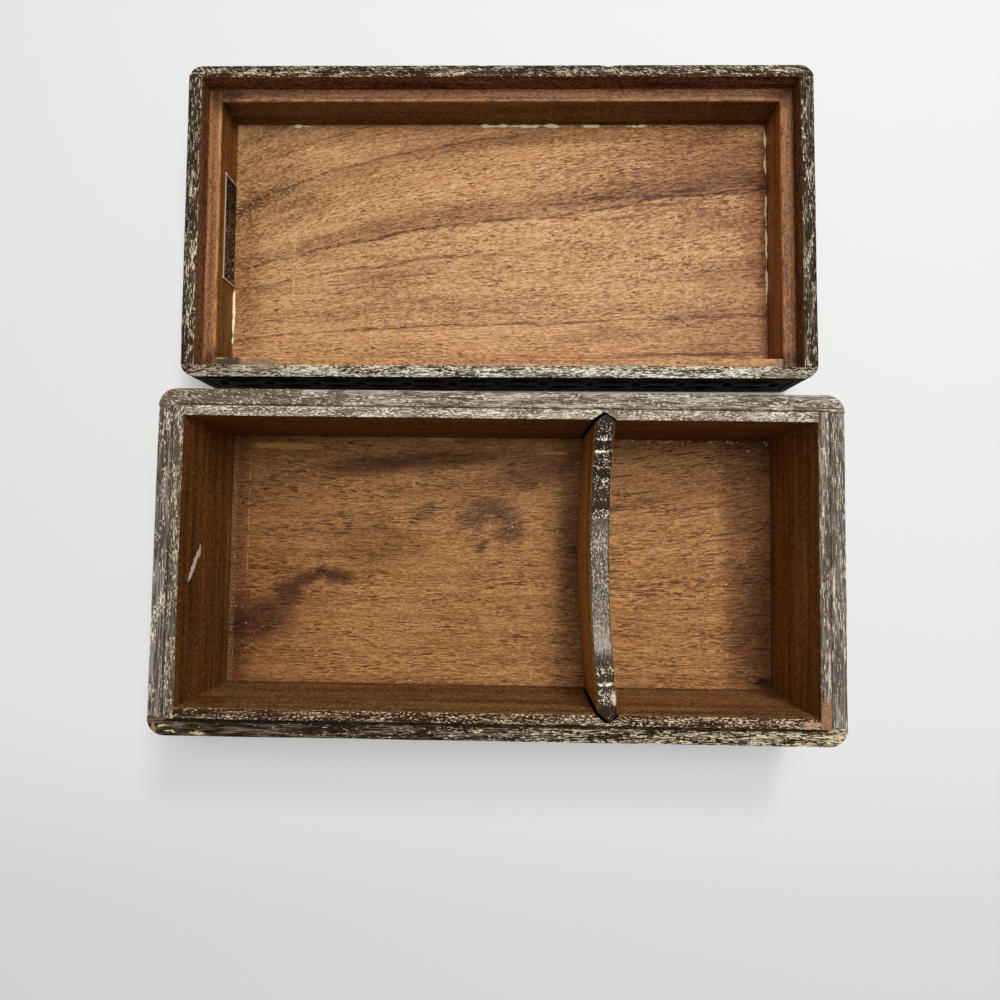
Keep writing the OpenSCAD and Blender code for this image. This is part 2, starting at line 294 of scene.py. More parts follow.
def board(name, side, inner, thick, bottom, top, start, end, material, body, slot, seed=0, step=STEP,
          edges=(0.3, 0.9, 0.7, 0.5), corner=NO_CORNER, carved=None, notch=None, paint=(1, 1, 1, 1), wave=0.1,
          nicks=()):
    """A board that stands along one side of the box, its inner face at the given distance from the middle.

    Stations run from start to end. At each one the outline is a rectangle with rounded edges whose radii,
    top and outer face waver. Round an upright corner of the box, the thickness is T - (r - sqrt(r^2 - a^2)),
    with a the distance past the arc's centre; at a butt end the whole outline shrinks by a small quarter
    circle. The carving is taken off the outer lines, and the divider's groove off the inner ones. A nick is
    a hollow in the top: its place, distance from the inner face, length, width and depth.
    """
    reach, r = corner
    arc = reach - r
    last = arc + math.sqrt(r * r - max(r - thick + THINNEST, 0) ** 2)
    start, end = max(start, -last), min(end, last)
    stops = []
    if carved:
        stops += [sign * (carved[0] - BORDER) / 2 + off for sign in (-1, 1) for off in VEE_LINES]
    if notch is not None:
        half = GROOVE_MOUTH / 2
        stops += [notch - half - GROOVE_SLACK, notch - GROOVE_SLACK, notch, notch + half]
    s = stations(start, end, stops, step, arc, r, last)

    past = np.clip(np.abs(s) - arc, 0, r)
    thin = np.maximum(thick - r + np.sqrt(r * r - past * past), THINNEST)
    butt = np.zeros_like(s)
    for tip, out in ((start, -1), (end, 1)):
        if abs(tip) <= arc + r / 2:
            butt = np.maximum(butt, np.clip((s - tip) * out + SOFT_END, 0, SOFT_END))
    inset = SOFT_END - np.sqrt(SOFT_END * SOFT_END - butt * butt)
    radii = [np.clip(edge * (1 + 0.4 * ripple(s, 0, 7 + 3 * k, 1, seed + k)), 0.12, 1.6)
             for k, edge in enumerate(edges)]
    waver = wave * (1 + ripple(s, 0, 31, 1, seed + 11)) / 2
    lines = long_lines(thick, bottom, top - bottom, carved, step)
    d, h, share = section(inset, thick - inset - waver, bottom + inset, top - inset - waver, radii, lines)

    along = s[:, None] + 0 * d
    cut = np.zeros_like(d)
    if carved:
        cut = wall_cut(along, h - (bottom + top) / 2, carved[0], carved[1], seed) * share[:, 1]
        d = d - cut - ROUGHNESS * share[:, 1] * ripple(along, h, 6, 2.5, seed + 21)
    h = h - wave * 0.9 * share[:, 2] * (1 + ripple(along, d, 9, 1.9, seed + 31)) / 2
    for place, across, long, wide, deep in nicks:
        hollow = ((along - place) / long) ** 2 + ((d - across) / wide) ** 2
        h = h - deep * np.exp(-hollow) * np.clip((h - top + 4) / 4, 0, 1)
    dent = 0 if notch is None else groove_dent(s[:, None], notch)
    d = dent + d * (thin[:, None] - dent) / thick
    (ax, ay), (ox, oy) = ALONG[side], OUTWARD[side]
    rings = np.stack([along * ax + (inner + d) * ox, along * ay + (inner + d) * oy, h], -1)
    if body == "lid":
        rings = on_lid(rings)
    marks = {
        "paint": np.broadcast_to(share @ np.array(paint, float), d.shape),
        "crown": np.broadcast_to(share[:, 2], d.shape),
        "edge": edge_mark(share, d.shape),
        "cut": cut / CUT,
    }
    return tube(name, rings, material, marks, body, [name])


def lid_top(paint_finish, panel_wood):
    """The lid's top board: a lattice over the carved lower face, its margins bent up by a quarter circle.

    In the margin a lattice place has angles a and b from 0 to 1; its distance is max(a, b) * 90 degrees
    round the edge and its direction runs from one side to the other by b / a. The outline then rises to the
    inner face, which is one flat polygon.
    """
    def axis(half, field):
        """Places along one axis, the grooves at the field's ends among them, and their share of the bend."""
        grooves = sorted(sign * field + off for sign in (-1, 1) for off in VEE_LINES)
        flat = spaced([-half + LID_ROUND, *grooves, half - LID_ROUND], FINE_STEP)
        bend = np.arange(1, MARGIN_STEPS + 1) / MARGIN_STEPS
        ends = [np.full(MARGIN_STEPS, flat[k]) for k in (0, -1)]
        return np.concatenate([ends[0], flat, ends[1]]), np.concatenate([-bend[::-1], 0 * flat, bend])

    field_x, field_y = HALF_L - LID_ROUND - BORDER, LID_HALF - LID_ROUND - BORDER
    base_x, bend_x = axis(HALF_L, field_x)
    base_y, bend_y = axis(LID_HALF, field_y)
    bx, by = np.meshgrid(base_x, base_y, indexing="ij")
    a, b = np.meshgrid(np.abs(bend_x), np.abs(bend_y), indexing="ij")
    reach = np.maximum(a, b)
    lesser = np.divide(np.minimum(a, b), reach, out=np.zeros_like(a), where=reach > 0)
    turn = np.where(a >= b, lesser, 2 - lesser) * math.pi / 4
    fall = reach * math.pi / 2
    x = bx + np.sign(bend_x)[:, None] * LID_ROUND * np.sin(fall) * np.cos(turn)
    y = by + np.sign(bend_y)[None, :] * LID_ROUND * np.sin(fall) * np.sin(turn)
    cut = frame_cut(bx, by, 2 * field_x, 2 * field_y)
    for place in (-ROSE_PITCH, 0, ROSE_PITCH):
        cut = np.maximum(cut, rose_cut(bx - place, by))
    cut = np.where(reach > 0, 0, cut)
    z = LID_ROUND * (1 - np.cos(fall)) + cut + ROUGHNESS * (1 + ripple(bx, by, 11, 3, 5)) * np.cos(fall)
    nx, ny = x.shape
    index = np.arange(nx * ny).reshape(nx, ny)
    quads = np.stack([index[:-1, :-1], index[:-1, 1:], index[1:, 1:], index[1:, :-1]], -1).reshape(-1, 4)
    ring = np.concatenate([index[:-1, 0], index[-1, :-1], index[:0:-1, -1], index[0, :0:-1]])
    low = np.stack([x, y, z], -1).reshape(-1, 3)
    points, last, strips = [low], ring, []
    for inset, height in ((0.0, LID_TOP - 0.4), (0.1, LID_TOP - 0.1), (0.4, LID_TOP)):
        inward = np.array([1 - inset / HALF_L, 1 - inset / LID_HALF, 0])
        fresh = sum(map(len, points)) + np.arange(len(ring))
        strips.append(np.stack([last, np.roll(last, -1), np.roll(fresh, -1), fresh], -1))
        points.append(low[ring] * inward + np.array([0, 0, height]))
        last = fresh
    faces = np.concatenate([quads, *strips])
    loops = np.concatenate([faces.ravel(), last])
    starts = np.arange(len(faces) + 1) * 4
    which = np.zeros(len(starts))
    which[-1] = 1
    points = np.concatenate(points)
    depth = np.zeros(len(points))
    depth[:nx * ny] = (cut / CUT).ravel()
    marks = {"cut": depth, "edge": 0 * depth, "crown": 0 * depth, "paint": 0 * depth + 1}
    return add_piece("lid_top_board", on_lid(points), loops, starts, [paint_finish, panel_wood], which,
                     marks, "lid", ["lid_top_board"], SHARP_ANGLE)


def divider(material):
    """The bowed board: stations along y, centre x = R - bow - sqrt(R^2 - y^2), pointed at both ends.

    The outline is turned about the middle and set in its place; edges and top are worn unevenly.
    """
    tip = DIVIDER_REACH + GROOVE_DEPTH
    y = spaced([-tip + 0.05, -DIVIDER_REACH, DIVIDER_REACH, tip - 0.05], FINE_STEP)
    radius = (DIVIDER_REACH ** 2 + DIVIDER_BOW ** 2) / (2 * DIVIDER_BOW)
    along = np.minimum(np.abs(y), DIVIDER_REACH)
    centre = radius - DIVIDER_BOW - np.sqrt(radius ** 2 - along ** 2)
    half = DIVIDER_THICK / 2
    narrow = np.clip((tip - np.abs(y)) / GROOVE_DEPTH, 0, 1)
    radii = [edge * (1 + 0.5 * ripple(y, 0, 5 + k, 1, 70 + k)) * np.maximum(narrow, 0.05)
             for k, edge in enumerate((0.5, 0.5, 0.8, 0.8))]
    tall = spaced([DIVIDER_LOW + 2, DIVIDER_HIGH - 2], 4)
    lines = (np.linspace(-2.4, 2.4, 4), tall, np.linspace(-2.5, 2.5, 8), tall)
    zero = np.zeros_like(y)
    d, h, share = section(zero - half, zero + half, zero + DIVIDER_LOW, zero + DIVIDER_HIGH, radii, lines)
    place = y[:, None] + 0 * d
    crown = np.clip((h - DIVIDER_HIGH + 6) / 6, 0, 1)
    worn = crown * np.abs(d / half) * (0.10 * (1 + ripple(place, np.sign(d), 3.4, 1, 77))
                                       + 0.14 * (1 + ripple(place, np.sign(d), 17, 1, 78)))
    h = h - crown ** 4 * 0.1 * (1 + ripple(place, d, 2.6, 1.6, 79))
    x = centre[:, None] + (d - worn * np.sign(d)) * narrow[:, None]
    c, t = math.cos(DIVIDER_TURN), math.sin(DIVIDER_TURN)
    marks = {
        "paint": np.broadcast_to(share @ np.array([0, 0, 1, 0]), d.shape),
        "edge": edge_mark(share, d.shape),
    }
    rings = np.stack([DIVIDER_X + c * x - t * place, t * x + c * place, h], -1)
    return tube("divider", rings, material, marks, "divider", ["divider"])


def slab(name, half_x, half_y, low, high, material, body):
    """A flat board lying between the others: outline in y and z carried along x, faces a little uneven."""
    s = spaced([-half_x, half_x], 4)
    one = np.ones_like(s)
    lines = (spaced([-half_y + 1, half_y - 1], 4), [(low + high) / 2]) * 2
    d, h, share = section(-half_y * one, half_y * one, low * one, high * one, [0.3 * one] * 4, lines)
    along = s[:, None] + 0 * d
    h = h - 0.05 * share[:, 2] * (1 + ripple(along, d, 40, 15, 91))
    h = h + 0.05 * share[:, 0] * (1 + ripple(along, d, 50, 12, 92))
    return tube(name, np.stack([along, d, h], -1), material, {}, body, [name])


def bead(name, start, end, size, full, seed, material):
    """Dried glue along a joint of the lid: a tube whose radius swells and fades along the line at random.

    Its radius is size times full, give or take what random waves add, so a low value leaves single drops.
    """
    start, end = np.array(start, float), np.array(end, float)
    length = np.linalg.norm(end - start)
    t = spaced([0, length], 0.6)
    uneven = 0.75 * ripple(t, 0, 6.5, 1, seed) + 0.35 * ripple(t, 0, 1.7, 1, seed + 1)
    swell = np.clip(full + (1.1 - full) * uneven, 0.03, 1)
    swell = swell * np.clip(np.minimum(t, length - t) / 2, 0.03, 1)
    forward = (end - start) / length
    aside = np.array([-forward[1], forward[0], 0])
    turn = np.linspace(0, 2 * math.pi, 10, endpoint=False)
    drift = 0.25 * ripple(t, 0, 4, 1, seed + 2)
    middle = start + t[:, None] * forward + drift[:, None] * aside
    outline = np.cos(turn)[:, None] * aside + np.sin(turn)[:, None] * np.array([0, 0, 0.55])
    rings = middle[:, None, :] + (size * swell)[:, None, None] * outline[None]
    return tube(name, on_lid(rings), material, {}, "lid", (), BEAD_ANGLE)


# Finishes

NOISE_STEP, NOISE_START = (7.31, 3.17, 5.73), (3.3, 8.1, 1.7)


class Finish:
    """One material and short words for its nodes, with places in millimetres of the tray's or lid's frame."""

    def __init__(self, name, on_lid_frame=False, roughness=0.55, specular=0.5):
        self.material = bpy.data.materials.new(name)
        self.material.use_nodes = True
        self.tree = self.material.node_tree
        self.shader = self.tree.nodes["Principled BSDF"]
        self.shader.inputs["Roughness"].default_value = roughness
        self.shader.inputs["Specular IOR Level"].default_value = specular
        lid_frame = dict(location=(LID_PLACE[0] * MM, LID_PLACE[1] * MM, 0), rotation=(0, 0, LID_TURN))
        coords = self.add("ShaderNodeTexCoord").outputs["Object"]
        self.here = self.placed(coords, scale=(MM, MM, MM), **(lid_frame if on_lid_frame else {}))

    def add(self, kind, **settings):
        """A new node of one kind."""
        node = self.tree.nodes.new(kind)
        for key, value in settings.items():
            setattr(node, key, value)
        return node

    def feed(self, socket, value):
        """Link an output to a socket, or set the socket to a value."""
        if isinstance(value, bpy.types.NodeSocket):
            self.tree.links.new(value, socket)
        else:
            socket.default_value = value

    def calc(self, kind, *values):
        """Math node; kind is its operation."""
        node = self.add("ShaderNodeMath", operation=kind)
        for socket, value in zip(node.inputs, values):
            self.feed(socket, value)
        return node.outputs[0]

    def times(self, *values):
        """All the values multiplied."""
        return reduce(lambda a, b: self.calc("MULTIPLY", a, b), values)

    def most(self, *values):
        """The largest of the values."""
        return reduce(lambda a, b: self.calc("MAXIMUM", a, b), values)

    def add_on(self, base, value, weight):
        """base + value * weight"""
        return self.calc("MULTIPLY_ADD", value, weight, base)

    def sway(self, base, value, weight):
        """base + (value - 0.5) * weight, for a value from 0 to 1"""
        return self.calc("MULTIPLY_ADD", self.calc("SUBTRACT", value, 0.5), weight, base)

    def off(self, value):
        """A value without its sign, such as the distance from the middle."""
        return self.calc("ABSOLUTE", value)

    def vector(self, kind, *values):
        """Vector math node; kind is its operation."""
        node = self.add("ShaderNodeVectorMath", operation=kind)
        for socket, value in zip(node.inputs, values):
            self.feed(socket, value)
        return node.outputs["Value" if kind == "LENGTH" else "Vector"]

    def split(self, vector=None):
        """X, Y and Z of a place."""
        node = self.add("ShaderNodeSeparateXYZ")
        self.feed(node.inputs[0], vector or self.here)
        return node.outputs

    def join(self, x, y, z):
        """A place from X, Y and Z."""
        node = self.add("ShaderNodeCombineXYZ")
        for socket, value in zip(node.inputs, (x, y, z)):
            self.feed(socket, value)
        return node.outputs[0]

    def placed(self, vector, **settings):
        """A place seen from a frame of its own, which its location, rotation and scale give."""
        node = self.add("ShaderNodeMapping", vector_type="TEXTURE")
        self.feed(node.inputs["Vector"], vector)
        for key, value in settings.items():
            self.feed(node.inputs[key.capitalize()], value)
        return node.outputs[0]

    def noise(self, sizes, seed, detail=2.0, rough=0.5, at=None, colour=False):
        """Noise from 0 to 1 whose lumps measure sizes, three lengths in millimetres."""
        start = tuple(seed * step + first for step, first in zip(NOISE_STEP, NOISE_START))
        place = self.vector("MULTIPLY_ADD", at or self.here, tuple(1 / v for v in sizes), start)
        node = self.add("ShaderNodeTexNoise")
        for key, value in (("Vector", place), ("Scale", 1.0), ("Detail", detail), ("Roughness", rough)):
            self.feed(node.inputs[key], value)
        return node.outputs["Color" if colour else "Fac"]

    def ramp(self, value, low, high, to_low=0.0, to_high=1.0, smooth=True):
        """A value that goes from to_low to to_high while the given one goes from low to high."""
        node = self.add("ShaderNodeMapRange", interpolation_type="SMOOTHSTEP" if smooth else "LINEAR")
        for key, item in zip(("Value", "From Min", "From Max", "To Min", "To Max"),
                             (value, low, high, to_low, to_high)):
            self.feed(node.inputs[key], item)
        return node.outputs["Result"]

    def mix(self, share, a, b, kind="MIX"):
        """Colour a, with b over it as far as the share says."""
        node = self.add("ShaderNodeMix", data_type="RGBA", blend_type=kind)
        for socket, value in ((node.inputs[0], share), (node.inputs[6], a), (node.inputs[7], b)):
            self.feed(socket, value)
        return node.outputs[2]

    def tint(self, share, colour, tone):
        """A colour multiplied by a tone, as far as the share says."""
        return self.mix(share, colour, tone, "MULTIPLY")

    def shades(self, value, *stops):
        """Colour ramp through stops of (place, colour)."""
        node = self.add("ShaderNodeValToRGB")
        ramp = node.color_ramp
        while len(ramp.elements) < len(stops):
            ramp.elements.new(0.5)
        for element, (place, colour) in zip(ramp.elements, stops):
            element.position, element.color = place, colour
        self.feed(node.inputs[0], value)
        return node.outputs[0]

    def mark(self, name):
        """A value that the surface itself carries: paint, crown, edge or cut."""
        return self.add("ShaderNodeAttribute", attribute_name=name).outputs["Fac"]

    def spot(self, x, y, wide, deep, turn=0.0, z=0.0, tall=200.0, soft=0.55, edge=None, tilt=0.0):
        """1 inside an ellipsoid at a place, 0 outside it; turn is about the upright, tilt about x."""
        own = self.placed(edge or self.frayed(), location=(x, y, z), scale=(wide, deep, tall),
                          rotation=(math.radians(tilt), 0, math.radians(turn)))
        return self.ramp(self.vector("LENGTH", own), 1.0, soft)

    def frayed(self, amount=3.0, size=3.0, along=None):
        """The place, pushed about by noise, so that spots get uneven edges, drawn out along a grain."""
        sizes = run(along, 4 * size, size / 2) if along else (size,) * 3
        pushes = run(along, 5 * amount, amount) if along else (2 * amount,) * 3
        push = self.vector("SUBTRACT", self.noise(sizes, 40, 3.0, colour=True), (0.5, 0.5, 0.5))
        return self.vector("MULTIPLY_ADD", push, pushes, self.here)

    def stripe(self, value, centre, half, soft=0.5):
        """1 where a value lies within half of the centre, falling to 0 at its ends."""
        return self.ramp(self.off(self.calc("SUBTRACT", value, centre)), half, half * soft)

    def stained(self, colour, edge, stains):
        """A colour under stains: x, y, wide, deep, turn, tone and strength; the grain still shows."""
        for x, y, wide, deep, turn, tone, strength in stains:
            mask = self.spot(x, y, 1.35 * wide, 1.35 * deep, turn, edge=edge, soft=0.25)
            colour = self.tint(self.times(mask, strength), colour, tone)
        return colour

    def covered(self, colour, edge, spots, level=0.0, tall=200.0):
        """A colour with mottled spots of another on it: x, y, wide, deep, turn and tone, about one level."""
        grain = self.ramp(self.noise((0.9, 0.9, 0.9), 44, 3.0), 0.35, 0.65)
        for x, y, wide, deep, turn, tone in spots:
            mottled = self.mix(grain, shade(tone, 0.62), shade(tone, 1.15))
            colour = self.mix(self.spot(x, y, wide, deep, turn, level, tall, edge=edge), colour, mottled)
        return colour

    def wall_foot_shade(self, colour, half_x, half_y, wide, share, tone):
        """A colour with a dark line of the given width where it meets the four walls: the joint, and painted
        shade at their foot.
        """
        x, y, _ = self.split()
        near = self.most(*(self.ramp(self.off(value), half - wide, half - 0.2)
                           for value, half in ((x, half_x), (y, half_y))))
        return self.mix(self.times(near, share), colour, tone)

    def done(self, colour, relief=None, depth=0.05, roughness=None):
        """Colour, bump of the given depth in millimetres, and roughness where it varies."""
        self.feed(self.shader.inputs["Base Color"], colour)
        if roughness is not None:
            self.feed(self.shader.inputs["Roughness"], roughness)
        if relief is not None:
            bump = self.add("ShaderNodeBump")
            bump.inputs["Distance"].default_value = depth * MM
            self.feed(bump.inputs["Height"], relief)
            self.feed(self.shader.inputs["Normal"], bump.outputs[0])
        return self.material


def run(along, long, wide):
    """Noise sizes for a board that runs along x or y."""
    return (long, wide, wide) if along == "x" else (wide, long, wide)


# Ground of the carved outer faces, made light to make up for the shade they stand in: painted light
LIT_OUTSIDE = rgb(112, 94, 74)
BARE, STRAW, SMUDGE = rgb(186, 126, 90), rgb(214, 194, 140), rgb(116, 112, 112)
# The grooves' near-black tone is painted shade
# The joint line's tone is partly painted shade cast by the tray's lip
JOINT_SHADE_LINE, GROOVE_SHADE, CRUMB = rgb(26, 16, 6), rgb(10, 5, 3), (1.0, 0.98, 0.94, 1.0)


def rubbed(f, along, seed, dark, grey, cream, share, silver=0.4, crowd=0.25, lean=0.0, long=8.5,
           slant=0.0, dash=(2.0, 0.42), brushed=12, outside=LIT_OUTSIDE, outer_share=1.0):
    """Rubbed paint: dark ground, silvery lines brushed along the board that stand partly for a painted sheen,
    cream caught on the raised grain.

    Cream shows where dashes, flecks and long strands, crowded in patches, add up to more than a level: share
    lowers that level, lean makes the cream thicker towards +X, and slant turns the marks out of the board's
    direction. The outer face has a ground of its own tone, outside, dark in the carving, with paint caught on
    the borders of each cut, as much as outer_share says. Returns colour, height and roughness.
    """
    at = f.placed(f.here, rotation=(0, 0, math.radians(slant))) if slant else f.here
    lines = f.noise(run(along, brushed, 0.45), seed, 3.0, 0.65)
    cloud = f.noise(run(along, 26, 3.5), seed + 1, 2.0)
    dashes = f.noise(run(along, *dash), seed + 2, 1.0, 0.4, at)
    strands = f.noise(run(along, long, 0.40), seed + 3, 1.0, 0.5)
    patch = f.noise(run(along, 13, 3.0), seed + 4, 2.0)
    flecks = f.noise(run(along, 0.8, 0.40), seed + 5, 1.0, 0.5, at)
    edge, cut, crown = f.mark("edge"), f.mark("cut"), f.mark("crown")

    level = f.times(dashes, 0.6)
    for value, weight in ((strands, 0.28), (flecks, 0.22), (patch, crowd), (edge, 0.03), (crown, 0.05),
                          (cut, -0.10), (f.split()[0], lean / HALF_L)):
        level = f.add_on(level, value, weight)
    start = 0.60 + crowd / 2 + (0.5 - share) * 0.27
    caught = f.ramp(level, start - 0.02, start + 0.035)
    caught = f.times(caught, f.ramp(crown, 0.6, 0.0, 1.0, outer_share))

    # Silvery lines, more on the top: brushed paint, and partly a painted sheen
    brushed_sheen = f.ramp(f.sway(lines, cloud, 0.5), 0.62 - 0.25 * silver, 0.76 - 0.25 * silver)
    brushed_sheen = f.times(brushed_sheen, f.add_on(0.3, crown, 0.7))
    ground = f.mix(brushed_sheen, dark, grey)
    weathered = f.mix(f.ramp(lines, 0.35, 0.68), shade(outside, 0.5), shade(outside, 1.2))
    ground = f.mix(f.ramp(crown, 0.6, 0.0), ground, weathered)
    crack = f.ramp(f.noise(run(along, 34, 0.55), seed + 7, 2.0), 0.40, 0.33, 0.0, 0.55)
    ground = f.mix(crack, ground, shade(dark, 0.55))

    thick = f.ramp(f.sway(flecks, cloud, 0.8), 0.36, 0.60)
    thinner = between(cream, grey, 0.55)
    colour = f.mix(caught, ground, f.mix(thick, thinner, shade(cream, 1.08)))
    border = f.times(f.ramp(cut, 0.0, 0.06), f.ramp(cut, 0.24, 0.08))
    border = f.times(border, f.ramp(cloud, 0.35, 0.6, 0.2 * outer_share, 0.75 * outer_share))
    colour = f.mix(border, colour, thinner)
    colour = f.mix(f.ramp(cut, 0.12, 0.7, 0.0, 0.85), colour, shade(outside, 0.12))
    relief = f.add_on(f.times(caught, 0.5), lines, 0.6)
    gloss = f.ramp(f.most(brushed_sheen, caught), 0.0, 1.0, 0.62, 0.42)
    return colour, relief, gloss


def timber(f, seed, deep, body, pale, pore, at=None, along="x", band=8.0, pore_size=(3.0, 0.34), fleck=1.0,
           bands=1.4, pores=0.8, pore_level=0.40, fibres=1.3, fibre=30, sparks=0.0, glints=(2.0, 0.5)):
    """Plain wood: slow bands, fine fibres and flecks of light, short dark pores and pale sparks on the grain.

    The tone sways between deep, body and pale: bands, fibres and fleck say how far each of the three sways
    it, and band, fibre and glints how large they are. More pores open as pore_level rises, and pores is how
    dark they are. Returns colour and height.
    """
    slow = f.noise(run(along, 130, band), seed, 2.0, 0.55, at)
    thread = f.noise(run(along, fibre, 0.55), seed + 1, 3.0, 0.6, at)
    glint = f.noise(run(along, *glints), seed + 2, 2.0, 0.6, at)
    tone = f.sway(f.sway(f.sway(0.5, slow, bands), thread, fibres), glint, fleck)
    colour = f.shades(tone, (0.15, deep), (0.5, body), (0.85, pale))
    hole = f.ramp(f.noise(run(along, *pore_size), seed + 3, 1.0, 0.5, at), pore_level, pore_level - 0.06)
    hole = f.times(hole, f.ramp(f.noise(run(along, 26, 7), seed + 6, 2.0), 0.35, 0.62, 0.5, 1.3))
    colour = f.mix(f.times(hole, pores), colour, pore)
    if sparks:
        spark = f.noise(run(along, 1.4, 0.5), seed + 4, 1.0, 0.5, at)
        colour = f.mix(f.ramp(spark, 0.66, 0.72, 0.0, sparks), colour, between(pale, (1, 1, 1, 1), 0.5))
    return colour, f.calc("SUBTRACT", f.times(glint, 0.5), hole)


DARK_WOOD = dict(deep=rgb(60, 32, 9), body=rgb(111, 67, 24), pale=rgb(164, 108, 52), pore=rgb(36, 18, 6),
                 band=5.0, pore_size=(3.0, 0.45), fleck=1.6, sparks=0.3, bands=1.0)
FRONT_WOOD = dict(DARK_WOOD, deep=rgb(66, 41, 18), body=rgb(119, 80, 41), pale=rgb(180, 132, 80),
                  pore_size=(1.8, 0.7), fleck=2.4, glints=(1.4, 0.7))
# The right liner's wood, lighter than DARK_WOOD to make up for the shade on that wall: painted light
RIGHT_WOOD_LIT = dict(DARK_WOOD, deep=rgb(92, 55, 23), body=rgb(150, 101, 47), pale=rgb(200, 146, 82))
REBATE_WOOD = dict(DARK_WOOD, deep=rgb(58, 34, 20), body=rgb(106, 68, 40), pale=rgb(162, 114, 76), fleck=2.2)


def painted(name, along, seed, paint, lid=False, spots=(), shaded_seam=0.0, depth=0.65, stains=(), shine=0.07):
    """Finish of an outer board: rubbed paint, bare dark wood on its inner face, spots worn through, stains.

    On the tray a dark line runs on the top at the shaded_seam's distance from the middle, between the inner
    faces of the short boards, where the liner begins: the joint, with painted shade that the raised lip casts
    beside it; depth is how dark it is.
    """
    f = Finish(name, lid, 0.5, shine)
    colour, relief, gloss = rubbed(f, along, seed, **paint)
    if spots:
        colour = f.covered(colour, f.frayed(1.2, 1.5), spots, LID_HEIGHT if lid else TRAY_HEIGHT, 6.0)
    # The joint beside the lip, drawn as a dark line that is partly painted shade cast by the lip
    if shaded_seam:
        x, y, _ = f.split()
        lengthwise, across = (x, y) if along == "x" else (y, x)
        place = f.add_on(f.off(across), f.noise(run(along, 4, 1.5), seed + 9, 4.0, 0.7), 1.8)
        line = f.times(f.ramp(f.off(lengthwise), TRAY_X + 0.4, TRAY_X - 0.4),
                       f.ramp(place, shaded_seam + 1.5, shaded_seam + 0.7, 0.0, depth))
        colour = f.mix(line, colour, JOINT_SHADE_LINE)
    if stains:
        colour = f.stained(colour, f.frayed(4, 5), stains)
    bare, _ = timber(f, seed + 8, along=along, **REBATE_WOOD)
    colour = f.mix(f.ramp(f.mark("paint"), 0.35, 0.55), bare, colour)
    return f.done(colour, relief, 0.09, gloss)


def lined(name, along, seed, wood, paint, spots=(), chips=()):
    """Finish of a tray liner: bare wood on its inner face, rubbed paint over the lip, pale chips on the wall.

    A chip is x, y, z, wide, deep, tall, tilt and tone. The long liners are painted near-black in the
    divider's grooves: painted shade.
    """
    f = Finish(name, False, 0.5, 0.07)
    colour, relief, gloss = rubbed(f, along, seed, **paint)
    bare, grain = timber(f, seed + 9, along=along, **wood)
    edge = f.frayed(1.2, 1.5)
    if spots:
        colour = f.covered(colour, edge, spots, LIP_TOP, 6.0)
    for x, y, z, wide, deep, tall, tilt, tone in chips:
        bare = f.mix(f.spot(x, y, wide, deep, 0.0, z, tall, 0.8, edge, tilt), bare, tone)
    if along == "x":
        # Inside the divider's groove the liner is painted near-black: painted shade
        bare = f.mix(f.ramp(f.off(f.split()[1]), INNER_Y + 0.1, INNER_Y + 0.5), bare, GROOVE_SHADE)
    worn = f.noise(run(along, 3, 0.6), seed + 12, 2.0)
    over = f.ramp(f.sway(f.mark("paint"), worn, 0.9), 0.35, 0.50)
    return f.done(f.mix(over, bare, colour), f.add_on(grain, relief, over), 0.07, gloss)


def ledge_wood(name, along, seed, wall, top, smudges=(), patches=()):
    """Finish of a lid liner: a darker inner face, a paler sanded top whose rounded edge is lighter in
    patches, from wear and partly a painted highlight.

    Smudges stain the wood, and patches of another tone lie on its top.
    """
    f = Finish(name, True, 0.45, 0.15)
    face, relief = timber(f, seed, shade(wall, 0.5), wall, shade(wall, 1.8), shade(wall, 0.3), along=along,
                          band=4.0, pore_size=(3.0, 0.45), fleck=3.2, fibres=2.0, glints=(1.8, 0.7))
    flat, _ = timber(f, seed + 5, shade(top, 0.5), top, shade(top, 1.7), shade(top, 0.35), along=along,
                     band=2.0, pore_size=(3.0, 0.4), pores=0.7, fleck=3.0, glints=(1.6, 0.45), bands=1.3)
    # The top's rounded edge, lighter in patches: wear, and partly a painted highlight
    worn = f.times(f.ramp(f.mark("edge"), 0.05, 0.7),
                   f.ramp(f.noise(run(along, 7, 2), seed + 7, 3.0), 0.4, 0.6), 0.8)
    flat = f.mix(worn, flat, shade(top, 2.3))
    colour = f.mix(f.ramp(f.mark("crown"), 0.15, 0.6), face, flat)
    edge = f.frayed(3.0, 2.5)
    colour = f.covered(f.stained(colour, edge, smudges), edge, patches, LEDGE, 4.0)
    return f.done(colour, relief, 0.05)


